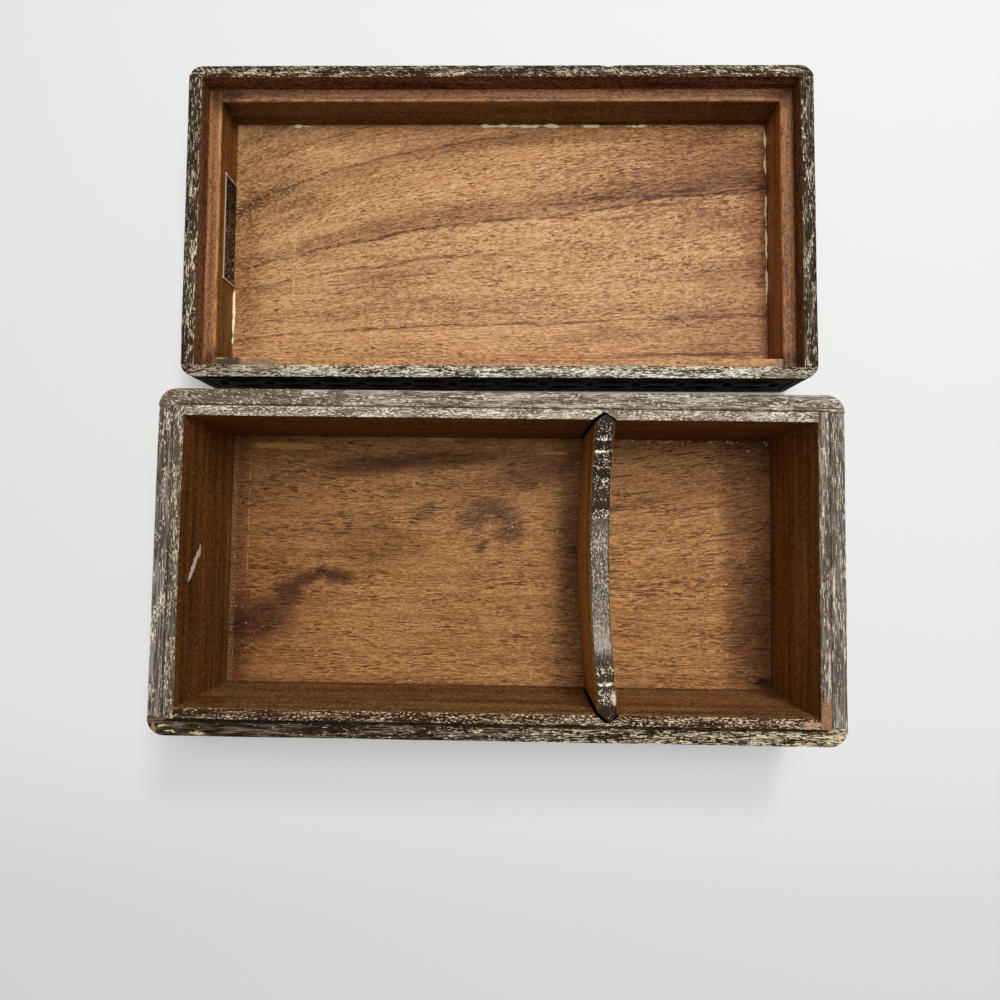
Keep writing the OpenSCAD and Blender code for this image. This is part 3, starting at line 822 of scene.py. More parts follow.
# How rubbed paint looks on each board: its tones, and what rubbed takes besides
PAINT = {
    "tray_front": dict(dark=rgb(34, 20, 8), grey=rgb(126, 112, 92), cream=rgb(228, 210, 174), share=0.18,
                       silver=0.42, lean=0.09, dash=(2.4, 0.36)),
    # The back boards' lighter, greyer tones stand partly for a painted sheen
    "tray_back": dict(dark=rgb(94, 78, 60), grey=rgb(186, 173, 159), cream=rgb(240, 226, 203), share=0.15,
                      silver=0.62, long=12, dash=(1.6, 0.40), brushed=7),
    "tray_back_short": dict(dark=rgb(96, 81, 65), grey=rgb(146, 131, 114), cream=rgb(246, 232, 196),
                            share=0.19, silver=0.5, slant=-20, brushed=5),
    "tray_left": dict(dark=rgb(82, 70, 58), grey=rgb(154, 142, 130), cream=rgb(235, 222, 196), share=0.13,
                      silver=0.58, crowd=0.5, long=14),
    "tray_right": dict(dark=rgb(93, 84, 71), grey=rgb(154, 147, 138), cream=rgb(226, 213, 190), share=0.17,
                       silver=0.5, long=22, dash=(5.0, 0.40)),
    "front_lip": dict(dark=rgb(48, 28, 9), grey=rgb(121, 100, 76), cream=rgb(226, 202, 168), share=0.26,
                      silver=0.35, lean=0.03, dash=(1.5, 0.42)),
    # The back lip's lighter, greyer tones stand partly for a painted sheen
    "back_lip": dict(dark=rgb(106, 88, 68), grey=rgb(184, 171, 156), cream=rgb(238, 223, 200), share=0.36,
                     silver=0.6, long=6, dash=(1.3, 0.42), brushed=4),
    "left_lip": dict(dark=rgb(84, 74, 62), grey=rgb(137, 121, 104), cream=rgb(217, 202, 171), share=0.26,
                     silver=0.55),
    "right_lip": dict(dark=rgb(90, 78, 66), grey=rgb(151, 140, 128), cream=rgb(228, 213, 190), share=0.22,
                      silver=0.5, long=18, dash=(4.0, 0.40)),
    "lid_back": dict(dark=rgb(44, 32, 12), grey=rgb(102, 86, 66), cream=rgb(222, 204, 172), share=0.27,
                     silver=0.38, slant=-18, crowd=0.42, dash=(2.6, 0.42)),
    # The lid front's outer face: a near-black ground with little paint on its borders, partly painted shade
    # of the gap to the tray
    "lid_front": dict(dark=rgb(62, 44, 18), grey=rgb(175, 161, 142), cream=rgb(248, 238, 216), share=0.41,
                      silver=0.62, outside=rgb(14, 8, 3), outer_share=0.1),
    "lid_left": dict(dark=rgb(54, 41, 28), grey=rgb(108, 92, 74), cream=rgb(226, 208, 180), share=0.23,
                     silver=0.42, crowd=0.35, dash=(3.4, 0.42), long=12),
    "lid_right": dict(dark=rgb(44, 32, 16), grey=rgb(98, 86, 70), cream=rgb(220, 203, 176), share=0.19,
                      silver=0.40, crowd=0.35, dash=(3.4, 0.42), long=12),
}

# Tray

tray_wall = partial(board, body="tray", slot="tray_paint", thick=TRAY_BOARD, bottom=0, top=TRAY_HEIGHT,
                    step=CARVED_STEP, edges=(0.5, 1.0, 0.38, 0.4), wave=0.12)
tray_long = partial(tray_wall, inner=TRAY_Y, corner=(HALF_L, CORNER),
                    carved=(LENGTH - 2 * CORNER, TRAY_HEIGHT))
tray_short = partial(tray_wall, inner=TRAY_X, start=-TRAY_Y, end=TRAY_Y, carved=(2 * TRAY_Y, TRAY_HEIGHT))

tray_long("tray_front_board", "front", start=-HALF_L, end=HALF_L, seed=100, material=painted(
    "tray_front_paint", "x", 11, PAINT["tray_front"], shaded_seam=TRAY_Y + 1.7, depth=0.9, spots=(
        (-147.0, -71.8, 1.0, 2.4, 20, rgb(168, 128, 90)), (-143.0, -71.2, 3.0, 0.5, 5, STRAW),
        (-139.6, -73.4, 3.4, 0.5, -4, STRAW), (-128, -74.1, 4, 0.8, 0, STRAW))))
tray_long("tray_back_board_long", "back", start=SPLICE, end=HALF_L, seed=120, material=painted(
    "tray_back_paint", "x", 12, PAINT["tray_back"], shaded_seam=TRAY_Y + 1.0, depth=0.8))
tray_long("tray_back_board_short", "back", start=-HALF_L, end=SPLICE, seed=120, material=painted(
    "tray_back_short_paint", "x", 16, PAINT["tray_back_short"], shaded_seam=TRAY_Y + 1.0, depth=0.8, spots=(
        (-149.2, 71.6, 1.2, 2.8, -18, BARE), (-147.6, 73.6, 1.8, 1.8, 0, BARE),
        (-144.0, 75.4, 3.4, 0.9, 6, BARE))))
tray_short("tray_left_board", "left", seed=140, material=painted(
    "tray_left_paint", "y", 13, PAINT["tray_left"], shaded_seam=TRAY_X + 1.75))
tray_short("tray_right_board", "right", seed=160, material=painted(
    "tray_right_paint", "y", 14, PAINT["tray_right"], shaded_seam=TRAY_X + 1.75))

tray_lining = partial(board, body="tray", slot="tray_liner_wood", thick=TRAY_LINER, bottom=FLOOR_TOP,
                      top=LIP_TOP, edges=(0.2, 0.2, 0.5, 0.6), paint=(0, 1, 1, 0), wave=0.1, step=1.0)
long_lining = partial(tray_lining, inner=INNER_Y, start=-INNER_X, end=INNER_X)
short_lining = partial(tray_lining, inner=INNER_X, start=-TRAY_Y, end=TRAY_Y)

long_lining("tray_front_liner", "front", notch=DIVIDER_X + GROOVE_SHIFT, seed=200, material=lined(
    "tray_front_lining", "x", 21, FRONT_WOOD, PAINT["front_lip"], (
        (134.0, -65.2, 5.0, 1.5, 0, rgb(196, 154, 124)),)))
long_lining("tray_back_liner", "back", notch=DIVIDER_X - GROOVE_SHIFT, seed=220, material=lined(
    "tray_back_lining", "x", 22, DARK_WOOD, PAINT["back_lip"]))
short_lining("tray_left_liner", "left", seed=240, material=lined(
    "tray_left_lining", "y", 23, DARK_WOOD, PAINT["left_lip"], chips=(
        (-137.4, -2.4, 48.5, 9, 10.2, 1.7, -37.0, (1.0, 0.84, 0.72, 1.0)),
        (-137.4, 3.4, 43.0, 9, 3.4, 1.5, -10.0, (0.95, 0.78, 0.66, 1.0)))))
short_lining("tray_right_liner", "right", seed=260, material=lined(
    "tray_right_lining", "y", 24, RIGHT_WOOD_LIT, PAINT["right_lip"], (
        (140.0, -62.3, 3.2, 9.8, 0, rgb(164, 120, 86)), (138.3, -53.0, 0.6, 3.5, 0, rgb(50, 32, 16)))))


def floor_finish():
    """Finish of the tray's floor: grain that climbs to the right, stains, ash, dust and crumbs, and painted
    shade: the right wall's shadow, the divider's shadow in part, and a dark line, partly the joint, at the
    foot of the walls.

    The grain's line through a place is y less lean times (sqrt(p^2 + b^2) + p), with p the distance past
    the bend and b the bend's softness; lean grows from the front to the back.
    """
    f = Finish("tray_floor_wood", False, 0.55, 0.15)
    x, y, z = f.split()
    bend = 20.0
    past = f.calc("ADD", x, bend)
    rise = f.calc("ADD", f.calc("SQRT", f.add_on(bend * bend, past, past)), past)
    lean = f.add_on(0.035, f.calc("TANH", f.calc("DIVIDE", y, 25.0)), 0.035)
    grain = f.join(x, f.calc("SUBTRACT", y, f.times(rise, lean)), z)
    colour, relief = timber(f, 31, rgb(124, 78, 38), rgb(165, 114, 62), rgb(204, 152, 94), rgb(84, 48, 22),
                            at=grain, fibres=1.1, fibre=9, fleck=1.4, pore_size=(4.6, 0.5), sparks=0.3,
                            bands=0.6, pore_level=0.44, pores=0.75)

    # Darker towards the left wall, and the right wall's shadow painted along the right side
    ragged = f.split(f.frayed(3.0, 6.0))[0]
    darker_left_shaded_right = f.most(f.ramp(x, -50, -137, 0.0, 0.8), f.ramp(ragged, 108, 119, 0.0, 1.0))
    colour = f.tint(darker_left_shaded_right, colour, rgb(194, 182, 174))
    drawn, edge = f.frayed(3, 3, "x"), f.frayed(4, 7)
    # Stains; the long strip at x 36 is in part the divider's painted shadow, and others darken the floor
    # along the side walls and in the front right corner
    colour = f.stained(colour, drawn, (
        (-69, 47.6, 25, 6.0, 2, rgb(152, 128, 112), 0.9), (-32, 51.0, 40, 5.0, 4, rgb(158, 136, 120), 0.9),
        (18, 46, 24, 9, 14, rgb(172, 152, 140), 0.8), (-62, 8, 26, 14, 0, rgb(206, 198, 180), 0.8),
        (133.8, -59, 5, 4, 0, rgb(80, 50, 36), 0.9), (128, -30, 12, 28, 0, rgb(190, 176, 166), 0.7),
        (36, 5, 7, 52, 0, rgb(172, 150, 140), 0.8)))
    colour = f.stained(colour, edge, (
        (-4, 27, 14, 5.5, -6, rgb(140, 128, 118), 0.9), (-14, 20, 10, 5, 0, rgb(150, 140, 132), 0.8),
        (5, 16, 9, 8, -30, rgb(146, 136, 122), 0.85), (-37.3, 24.3, 8, 3.8, 0, rgb(164, 154, 146), 0.65),
        (-8.8, 7.4, 4, 3, 0, rgb(150, 130, 122), 0.6),
        (-121, -31, 19, 12, 8, rgb(146, 114, 100), 0.9), (-107, -18, 8, 8, 40, rgb(150, 120, 106), 0.9),
        (-98, -11, 9, 4.2, 30, rgb(136, 108, 94), 0.9), (-84, -8.6, 12, 4.4, -6, rgb(134, 108, 94), 0.95),
        (-133, -42, 8, 30, 0, rgb(186, 170, 158), 0.6)))
    colour = f.covered(colour, f.frayed(2.0, 2.0, "x"), (
        (-110, 57.2, 21, 2.2, 0, rgb(200, 154, 80)), (-31, 61.4, 9, 1.2, 0, rgb(216, 172, 104)),
        (26, 55, 10, 0.8, 0, rgb(200, 156, 96))))

    colour = f.tint(f.ramp(x, -124, -134, 0.0, 0.9), colour, rgb(196, 180, 160))
    dust = f.ramp(f.noise((0.8, 0.8, 0.8), 36, 2.0), 0.46, 0.62, 0.0, 0.8)
    colour = f.mix(f.times(f.stripe(x, -135.8, 2.2), dust), colour, rgb(134, 104, 64))
    ash = f.ramp(f.noise((0.9, 0.9, 0.9), 35, 2.0), 0.55, 0.68)
    ash = f.times(f.most(f.spot(-3, 22, 22, 12, -12, edge=edge), f.spot(-37, 24, 9, 4, edge=edge)), ash, 0.5)
    colour = f.mix(ash, colour, rgb(178, 154, 126))
    thin_line = f.times(f.stripe(x, -128.2, 0.35), f.stripe(y, 20, 33, 0.8),
                        f.ramp(f.noise((1, 5, 1), 41, 1.0), 0.40, 0.55, 0.0, 0.4))
    colour = f.mix(thin_line, colour, rgb(196, 164, 118))
    speck = f.ramp(f.noise((1.3, 1.3, 1.3), 37, 1.0), 0.745, 0.775)
    colour = f.mix(f.times(speck, 0.7), colour, rgb(226, 200, 164))

    crumbs = f.ramp(f.noise((1.1, 1.1, 1.1), 38, 1.0), 0.64, 0.66)
    at_back = f.times(f.stripe(y, 61.6, 1.2), f.ramp(x, 50, 60))
    colour = f.mix(f.times(at_back, crumbs), colour, CRUMB)
    streak = f.ramp(f.noise((30, 0.9, 0.9), 39, 2.0, 0.5, grain), 0.42, 0.36)
    streak = f.times(streak, f.ramp(f.noise((12, 5, 5), 33, 2.0, 0.5, grain), 0.44, 0.54),
                     f.ramp(x, 20, 60, 0.25, 0.75))
    colour = f.mix(streak, colour, rgb(74, 42, 18))
    colour = f.covered(colour, f.frayed(0.7, 1.0), (
        (133.9, 62.0, 0.8, 0.6, 0, CRUMB), (135.0, 60.8, 0.6, 0.7, 0, CRUMB),
        (125.8, 57.4, 0.7, 0.6, 0, CRUMB)))
    # Dark line at the foot of the walls: the joint, and painted shade
    colour = f.wall_foot_shade(colour, INNER_X, INNER_Y, 0.9, 0.75, rgb(30, 14, 6))
    return f.done(colour, relief, 0.06)


slab("tray_bottom", TRAY_X - 0.1, TRAY_Y - 0.1, 0, FLOOR_TOP, floor_finish(), "tray")

# Divider


def divider_finish():
    """Finish of the divider: on its top, tones along y, zones of pale dots, dashes and three broken lines.

    A zone or line is its middle along y, its half width and, for a zone, how crowded its dots are. The sides
    are bare wood, with painted shade where they go into the grooves.
    """
    f = Finish("divider_finish", False, 0.42, 0.08)
    y = f.split()[1]
    place = f.split(f.frayed(1.5, 2.0))[1]
    reach = 66
    # Tones along the top; the pale greys in the middle, from about -38 to 13, stand partly for a painted
    # sheen
    tones = (
        (-64, rgb(42, 31, 21)), (-55, rgb(66, 50, 34)), (-42, rgb(66, 53, 42)), (-38, rgb(92, 80, 70)),
        (-34.8, rgb(156, 146, 135)), (-27, rgb(126, 114, 99)), (-18, rgb(106, 94, 82)), (2, rgb(88, 76, 67)),
        (13, rgb(104, 92, 79)), (19, rgb(84, 70, 55)), (24.5, rgb(46, 32, 21)), (32, rgb(62, 47, 35)),
        (38, rgb(36, 21, 10)), (57, rgb(25, 10, 3)), (61.5, rgb(50, 36, 23)), (64.5, rgb(40, 28, 18)))
    colour = f.shades(f.ramp(place, -reach, reach, smooth=False),
                      *((0.5 + middle / (2 * reach), tone) for middle, tone in tones))
    # Streaks along the top, lighter and darker: grain, and partly a painted sheen
    streaks_and_sheen = f.noise(run("y", 6, 0.5), 45, 3.0, 0.6)
    colour = f.tint(1.0, colour, f.ramp(streaks_and_sheen, 0.35, 0.65, 0.60, 1.40))
    crowd = f.most(*(f.times(f.stripe(place, middle, half), share) for middle, half, share in (
        (58.4, 3.6, 0.6), (52, 2.0, 0.3), (45.6, 5.2, 0.75), (35.2, 3.6, 1.0), (21.8, 3.0, 1.1),
        (9.8, 3.0, 0.9), (-27.5, 4.5, 0.5), (-44.4, 2.6, 1.2), (-55.3, 3.6, 1.25))))
    speckled = f.add_on(f.noise((0.55, 0.6, 0.6), 47, 1.0), f.noise((2.5, 3.5, 3.5), 48, 2.0), 0.35)
    dots = f.ramp(f.add_on(speckled, crowd, 0.11), 0.865, 0.915)
    colour = f.mix(dots, colour, rgb(240, 228, 204))
    # Pale dashes in the middle zone: marks, and partly painted glints
    dashes = f.ramp(f.noise((0.45, 1.6, 1.0), 46, 2.0), 0.52, 0.62, 0.0, 0.8)
    colour = f.mix(f.times(dashes, f.stripe(place, -9, 30, 0.75)), colour, rgb(206, 194, 178))
    broken = f.ramp(f.noise((1.3, 3, 3), 49, 1.0), 0.42, 0.54, 0.1, 1.0)
    for middle, half in ((54.7, 0.6), (49.3, 0.65), (-50.4, 0.4)):
        colour = f.mix(f.times(f.stripe(place, middle, half), broken), colour, rgb(244, 230, 200))
    colour = f.covered(colour, f.frayed(0.8, 1.2), (
        (51.4, -46.0, 1.0, 5.0, -5, rgb(240, 212, 186)), (50.9, -55.6, 2.1, 4.0, -8, rgb(246, 218, 192)),
        (47.8, -49.6, 3.4, 0.45, 0, rgb(236, 222, 198))))
    colour = f.mix(f.ramp(f.mark("edge"), 0.1, 0.8, 0.0, 0.75), colour, rgb(44, 30, 20))
    bare, _ = timber(f, 42, rgb(120, 74, 26), rgb(188, 126, 54), rgb(236, 176, 96), rgb(90, 48, 14),
                     along="y", fleck=3.0, glints=(1.6, 0.8), fibre=12)
    # The ends are painted near-black where they go into the grooves: painted shade
    bare = f.mix(f.ramp(f.off(y), DIVIDER_REACH - 0.7, DIVIDER_REACH - 0.2), bare, rgb(12, 6, 4))
    colour = f.mix(f.ramp(f.mark("paint"), 0.3, 0.5), bare, colour)
    return f.done(colour, f.calc("ADD", streaks_and_sheen, dots), 0.08, f.ramp(dots, 0.0, 1.0, 0.6, 0.45))


divider(divider_finish())

# Lid


def panel_finish():
    """Finish of the lid's panel: grain that climbs to the right, dark lines, smoky streaks, a scratch, and
    painted shade along the walls.

    The grain's line through a place is y less lean times rise. Rise is 29 (1 - exp(-p / 70)) + 0.04 p, with
    p the distance past the left wall, less a dip of 3.2 exp(-(x / 50 - 0.6)^2) that fades out towards the
    back; lean grows from the front to the back. A dark line is its middle across the grain, its half width,
    its strength, and the place along x where it ends.
    """
    f = Finish("lid_panel_wood", True, 0.5, 0.15)
    x, y, z = f.split()
    past = f.calc("ADD", x, PANEL_X)
    rise = f.calc("SUBTRACT", 1.0, f.calc("EXPONENT", f.calc("DIVIDE", past, -70.0)))
    rise = f.add_on(f.times(past, 0.04), rise, 29.0)
    dip = f.calc("POWER", f.add_on(-0.6, x, 1 / 50), 2.0)
    dip = f.times(f.calc("EXPONENT", f.times(dip, -1.0)), f.ramp(y, 46, 12))
    lean = f.add_on(0.76, f.calc("TANH", f.add_on(2 / 38, y, 1 / 38)), 0.55)
    across = f.calc("SUBTRACT", y, f.times(f.add_on(rise, dip, -3.2), lean))
    grain = f.join(x, across, z)
    colour, relief = timber(f, 61, rgb(140, 92, 52), rgb(194, 142, 93), rgb(226, 178, 124), rgb(112, 70, 42),
                            at=grain, fibres=1.0, fibre=18, fleck=1.6, pore_size=(3.4, 0.45), sparks=0.6,
                            bands=0.7, band=11, glints=(2.3, 0.5))

    smoke = f.times(f.noise((60, 13, 13), 68, 2.0, 0.5, grain), f.ramp(f.off(x), 30, 137, 0.8, 1.2))
    colour = f.tint(f.ramp(smoke, 0.50, 0.72, 0.0, 0.6), colour, rgb(186, 172, 168))
    waved = f.add_on(f.calc("SUBTRACT", across, 2.0), f.noise((22, 7, 7), 66, 2.0), 4.0)
    broken = f.ramp(f.noise((7, 0.8, 0.8), 65, 2.0, 0.5, grain), 0.40, 0.55, 0.35, 1.0)
    for middle, half, strength, last in (
            (18.5, 1.0, 0.85, 30), (17, 6, 0.5, 40), (-14.6, 0.9, 1.0, 200), (-11, 5, 0.45, 200),
            (-24.9, 0.9, 0.8, 20), (-51, 0.9, 0.9, 200), (-40, 0.8, 0.4, 60), (36, 0.9, 0.6, 200)):
        line = f.times(f.stripe(waved, middle, half, 0.2), f.ramp(x, last, last - 40, 0.0, strength))
        if half < 2:
            line = f.times(line, broken)
        colour = f.tint(line, colour, rgb(148, 126, 122))

    purple = rgb(146, 128, 130)
    dashed = f.times(f.ramp(f.noise((4.5, 0.6, 0.6), 69, 2.0, 0.5, grain), 0.47, 0.42),
                     f.ramp(x, 0, 60, 0.15, 1.0), f.ramp(y, 4, 26, 0.2, 1.0), 0.75)
    colour = f.tint(dashed, colour, rgb(160, 136, 132))
    # Stains; the last three darken the panel along its left and right walls: painted shade
    colour = f.stained(colour, f.frayed(3, 2, "x"), (
        (33, 21.4, 10, 0.9, 3, purple, 0.8), (53, 24.6, 12, 1.3, 3, purple, 0.85),
        (78, 25.2, 9, 1.3, 2, purple, 0.85), (98, 28.2, 12, 1.5, 2, purple, 0.9),
        (84, 21.5, 14, 0.9, 2, purple, 0.7), (66, 14.6, 18, 0.9, 8, rgb(150, 130, 130), 0.8),
        (118, 27.0, 8, 0.8, 2, purple, 0.7), (92, 30, 46, 10, 4, rgb(214, 200, 194), 0.6),
        (110, 46, 40, 16, 0, rgb(204, 186, 176), 0.6), (96, -57, 46, 1.0, 1, rgb(120, 96, 84), 0.8),
        (-122, 36, 24, 30, 0, rgb(196, 186, 180), 0.8), (-132, -10, 10, 50, 0, rgb(190, 172, 156), 0.8),
        (132, 10, 8, 50, 0, rgb(206, 184, 170), 0.7)))
    mottle = f.times(f.ramp(f.noise((1.8, 1.0, 1.0), 67, 2.0), 0.50, 0.60), f.ramp(x, -40, -110, 0, 0.35))
    colour = f.mix(mottle, colour, rgb(222, 182, 124))
    wander = f.add_on(f.calc("SUBTRACT", x, 4.5), f.noise((9, 7, 9), 71, 2.0), 9.0)
    scratch = f.times(f.stripe(wander, -106, 0.35), f.stripe(y, -9, 22, 0.8),
                      f.ramp(f.noise((1, 1.6, 1), 70, 1.0), 0.42, 0.58), 0.65)
    colour = f.mix(scratch, colour, rgb(236, 204, 160))
    # Dark line at the foot of the walls: the joint, and painted shade
    colour = f.wall_foot_shade(colour, PANEL_X, PANEL_Y, 1.0, 0.6, rgb(60, 30, 14))
    return f.done(colour, relief, 0.05)


lid_top(painted("lid_top_paint", "x", 55, PAINT["lid_right"], True), panel_finish())

lid_wall = partial(board, body="lid", slot="lid_paint", bottom=LID_TOP, top=LID_HEIGHT, step=CARVED_STEP,
                   edges=(0.3, 1.0, 0.38, 0.4), wave=0.12, paint=(1, 1, 1, 0))
lid_long = partial(lid_wall, inner=RIM_Y, thick=LID_SIDE, start=-HALF_L, end=HALF_L,
                   corner=(HALF_L, LID_ROUND), carved=(LENGTH - 2 * LID_ROUND, LID_HEIGHT - LID_TOP))
lid_short = partial(lid_wall, inner=RIM_X, thick=LID_BOARD, start=-RIM_Y, end=RIM_Y,
                    corner=(LID_HALF, LID_ROUND), carved=(2 * RIM_Y, LID_HEIGHT - LID_TOP))

# The front rim is darker towards both ends
lid_long("lid_front_board", "front", seed=300, material=painted(
    "lid_front_paint", "x", 53, PAINT["lid_front"], True, shine=0.02, stains=(
        (-128, -73, 42, 9, 0, rgb(198, 190, 178), 0.85), (140, -73, 20, 9, 0, rgb(204, 196, 184), 0.9))))
# A dark spot lies in the first nick
lid_long("lid_back_board", "back", seed=320, nicks=((-8, 5.0, 1.6, 1.0, 0.8), (52.4, 5.8, 2.2, 1.2, 1.2)),
         material=painted("lid_back_paint", "x", 51, PAINT["lid_back"], True, spots=(
             (-8, 75.2, 1.6, 1.0, 0, rgb(30, 22, 16)),)))
# The side rims are darker along their outer edge
lid_short("lid_left_board", "left", seed=340, material=painted(
    "lid_left_paint", "y", 52, PAINT["lid_left"], True, stains=(
        (-149, 0, 1.8, 120, 0, rgb(206, 202, 196), 0.95),)))
lid_short("lid_right_board", "right", seed=360, material=painted(
    "lid_right_paint", "y", 54, PAINT["lid_right"], True, stains=(
        (149, 0, 1.8, 120, 0, rgb(214, 210, 204), 0.95),)))

lid_lining = partial(board, body="lid", slot="lid_liner_wood", thick=LID_LINER, bottom=LID_TOP, top=LEDGE,
                     edges=(0.2, 0.2, 0.2, 1.6), paint=(0, 0, 0, 0), wave=0.08)
long_ledge = partial(lid_lining, inner=PANEL_Y, start=-PANEL_X, end=PANEL_X)
short_ledge = partial(lid_lining, inner=PANEL_X, start=-RIM_Y, end=RIM_Y)

# The four liners are one wood; their wall and top tones are set to the brightness each shows, so they carry
# painted light and shade: the front top and the front and right walls lighter, the back wall darkest
long_ledge("lid_front_liner", "front", seed=400, material=ledge_wood(
    "lid_front_lining", "x", 71, rgb(150, 96, 52), rgb(170, 122, 78), patches=(
        (-116, -67.2, 12, 3.2, 0, rgb(152, 126, 92)), (-131.0, -66.8, 8.4, 4.2, 0, rgb(74, 62, 46)),
        (136, -66.8, 4, 3.4, 0, rgb(152, 124, 98)))))
long_ledge("lid_back_liner", "back", seed=420, material=ledge_wood(
    "lid_back_lining", "x", 72, rgb(106, 70, 38), rgb(138, 95, 65), (
        (-134, 67.0, 9, 3, 0, SMUDGE, 0.8), (136, 67.0, 7, 3, 0, SMUDGE, 0.7))))
short_ledge("lid_left_liner", "left", seed=440, material=ledge_wood(
    "lid_left_lining", "y", 73, rgb(116, 74, 31), rgb(140, 95, 60), (
        (-139.5, 66, 4, 9, 0, SMUDGE, 0.8), (-139.5, -65, 4, 6, 0, SMUDGE, 0.8))))
short_ledge("lid_right_liner", "right", seed=460, material=ledge_wood(
    "lid_right_lining", "y", 74, rgb(154, 104, 54), rgb(132, 87, 53), (
        (139.5, 66.5, 4, 7, 0, SMUDGE, 0.8), (139.5, -64.6, 4, 6, 0, SMUDGE, 0.8))))

LABEL_FRONT, LABEL_BACK, LABEL_FOOT, LABEL_TOP, LABEL_THICK = -22.8, 31.2, LID_TOP + 0.3, LID_TOP + 14.3, 0.4


def label_finish():
    """Finish of the label: black with a pale border, brown crumbs and pale glitter, sparser at the back."""
    f = Finish("label_black", True, 0.6, 0.03)
    _, y, z = f.split()
    border = f.most(f.stripe(y, LABEL_FRONT + 0.5, 0.5), f.stripe(y, LABEL_BACK - 0.5, 0.5),
                    f.stripe(z, LABEL_TOP - 0.5, 0.6))
    crumbs = f.times(f.ramp(f.noise((0.9, 0.9, 0.9), 82, 2.0), 0.46, 0.60), f.ramp(y, 26, 4, 0.35, 1.0))
    colour = f.mix(crumbs, rgb(12, 7, 4), rgb(120, 92, 62))
    glitter = f.times(f.ramp(f.noise((1.0, 1.0, 1.0), 81, 1.0), 0.66, 0.70), f.ramp(y, 22, -8, 0.4, 1.0))
    return f.done(f.mix(f.most(border, glitter), colour, rgb(240, 220, 190)))


board("lid_label", "left", PANEL_X - LABEL_THICK, LABEL_THICK, LABEL_FOOT, LABEL_TOP, LABEL_FRONT, LABEL_BACK,
      label_finish(), body="lid", slot="label_black", seed=480, edges=(0.1,) * 4, wave=0.0)

GLUE_DEEP, GLUE_PALE = (1.0, 0.74, 0.36, 1.0), (1.0, 0.90, 0.58, 1.0)
GLUE_X, GLUE_Y, GLUE_Z = PANEL_X - 0.6, PANEL_Y - 1.1, LID_TOP + 0.2

f = Finish("dried_glue", True, 0.35, 0.25)
glue = f.done(f.mix(f.noise((2, 2, 2), 85), GLUE_DEEP, GLUE_PALE))
for name, start, end, size, full, seed in (
        ("back", (-10.6, GLUE_Y), (31, GLUE_Y), 2.1, 0.48, 500),
        ("back_left", (-108, GLUE_Y), (-99, GLUE_Y), 1.3, 0.4, 510),
        ("back_right", (42, GLUE_Y), (76, GLUE_Y), 1.2, 0.1, 540),
        ("right", (GLUE_X, -30), (GLUE_X, 60.7), 0.9, 0.42, 520),
        ("left", (-GLUE_X, -53), (-GLUE_X, -24), 1.0, 0.4, 530)):
    bead("lid_glue_" + name, (*start, GLUE_Z), (*end, GLUE_Z), size, full, seed, glue)

# Table, light and camera

SEEN, FRONT_SHADE, FRONT_SHADE_GLOW = rgb(237, 239, 239), rgb(226, 228, 226), rgb(226, 228, 227)
TABLE_HALF, TABLE_Z = 4.0, -0.00005


def table_finish():
    """Finish of the table: a pale matt top that camera and mirror rays see partly as an even glow.

    The share of the glow grows from 0.3 near the box, where it paints light into the box's shadow, to 1
    beyond 0.9 m; the front is a little darker, painted shade.
    """
    f = Finish("table_white", False, 0.6, 0.2)
    # Darker towards the front: painted shade
    near = f.ramp(f.split()[1], -70, -190)
    cloudy = f.mix(f.noise((400, 400, 400), 95), rgb(235, 237, 235), rgb(238, 240, 238))
    f.done(f.mix(near, cloudy, FRONT_SHADE))
    rays = f.add("ShaderNodeLightPath").outputs
    seen = f.most(rays["Is Camera Ray"], rays["Is Glossy Ray"], rays["Is Transmission Ray"])
    # A 0.3 share of emission near the box lightens its shadow on the table: painted light
    far = f.ramp(f.vector("LENGTH", f.here), 420, 900, 0.3, 1.0)
    glow, fade = f.add("ShaderNodeEmission"), f.add("ShaderNodeMixShader")
    f.feed(glow.inputs["Color"], f.mix(f.times(near, f.ramp(far, 0.9, 0.5)), SEEN, FRONT_SHADE_GLOW))
    f.feed(fade.inputs[0], f.times(seen, far))
    f.feed(fade.inputs[1], f.shader.outputs[0])
    f.feed(fade.inputs[2], glow.outputs[0])
    f.feed(f.tree.nodes["Material Output"].inputs["Surface"], fade.outputs[0])
    return f.material


mesh = bpy.data.meshes.new("table")
mesh.from_pydata([(x * TABLE_HALF, y * TABLE_HALF, TABLE_Z) for x, y in ((-1, -1), (1, -1), (1, 1), (-1, 1))],
                 [], [(0, 1, 2, 3)])
mesh.materials.append(table_finish())
table = bpy.data.objects.new("table", mesh)
bpy.context.scene.collection.objects.link(table)


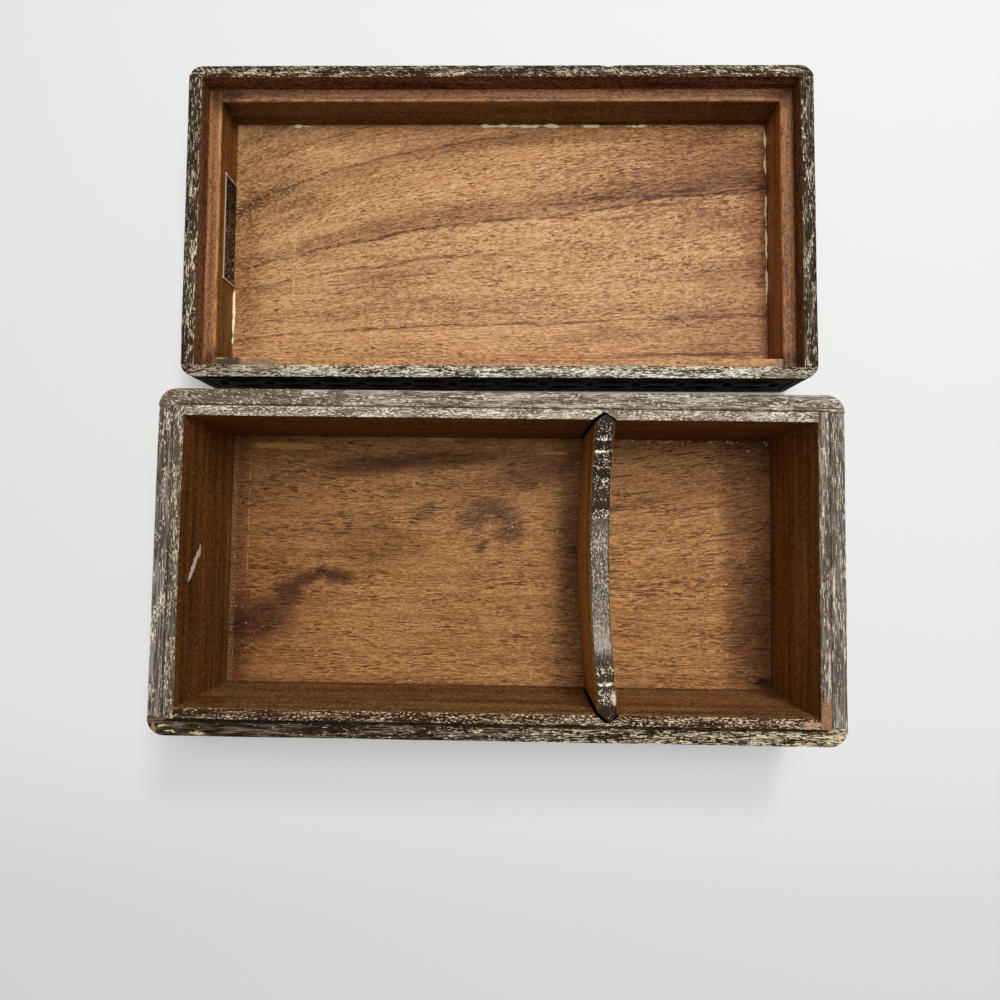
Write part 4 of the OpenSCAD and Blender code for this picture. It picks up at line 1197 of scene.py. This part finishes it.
def room():
    """World: a weak cool light on everything, and the table's tone wherever the camera looks past it."""
    world = bpy.data.worlds.new("room")
    bpy.context.scene.world = world
    world.use_nodes = True
    nodes, links = world.node_tree.nodes, world.node_tree.links
    light, seen = nodes["Background"], nodes.new("ShaderNodeBackground")
    for background, colour, strength in ((light, (0.98, 0.99, 0.985, 1), 0.13), (seen, SEEN, 1.0)):
        background.inputs["Color"].default_value = colour
        background.inputs["Strength"].default_value = strength
    rays, blend = nodes.new("ShaderNodeLightPath"), nodes.new("ShaderNodeMixShader")
    share = rays.outputs["Is Camera Ray"]
    for kind in ("Is Transmission Ray", "Is Glossy Ray"):
        either = nodes.new("ShaderNodeMath")
        either.operation = "MAXIMUM"
        links.new(share, either.inputs[0])
        links.new(rays.outputs[kind], either.inputs[1])
        share = either.outputs[0]
    links.new(share, blend.inputs[0])
    links.new(light.outputs[0], blend.inputs[1])
    links.new(seen.outputs[0], blend.inputs[2])
    links.new(blend.outputs[0], nodes["World Output"].inputs["Surface"])


def lamp(name, place, target, size, power):
    """Round area lamp at a place, turned to a target."""
    light = bpy.data.lights.new(name, "AREA")
    light.shape, light.size, light.energy = "DISK", size, power
    holder = bpy.data.objects.new(name, light)
    holder.location = place
    holder.rotation_euler = (Vector(place) - Vector(target)).to_track_quat("Z", "Y").to_euler()
    bpy.context.scene.collection.objects.link(holder)


room()
lamp("window", (0.36, 0.90, 1.3), (0, 0.05, 0.03), 0.3, 6.5)
lamp("ceiling", (0.24, 0.34, 1.5), (0, 0.08, 0.0), 0.8, 16.0)

# A phone held over the box, a little out of true
EYE, LENS, SENSOR = (0.005372, 0.010806, 0.380693), 26.496, 36.0
PITCH, ROLL, YAW = (math.radians(v) for v in (3.069, 0.782, 0.802))

camera = bpy.data.cameras.new("camera")
camera.sensor_width, camera.lens, camera.clip_start = SENSOR, LENS, 0.01
eye = bpy.data.objects.new("camera", camera)
bpy.context.scene.collection.objects.link(eye)
turn = Matrix.Rotation(YAW, 4, "Z") @ Matrix.Rotation(ROLL, 4, "Y") @ Matrix.Rotation(PITCH, 4, "X")
eye.matrix_world = Matrix.Translation(EYE) @ turn
bpy.context.scene.camera = eye
bpy.context.scene.view_settings.view_transform = "Standard"
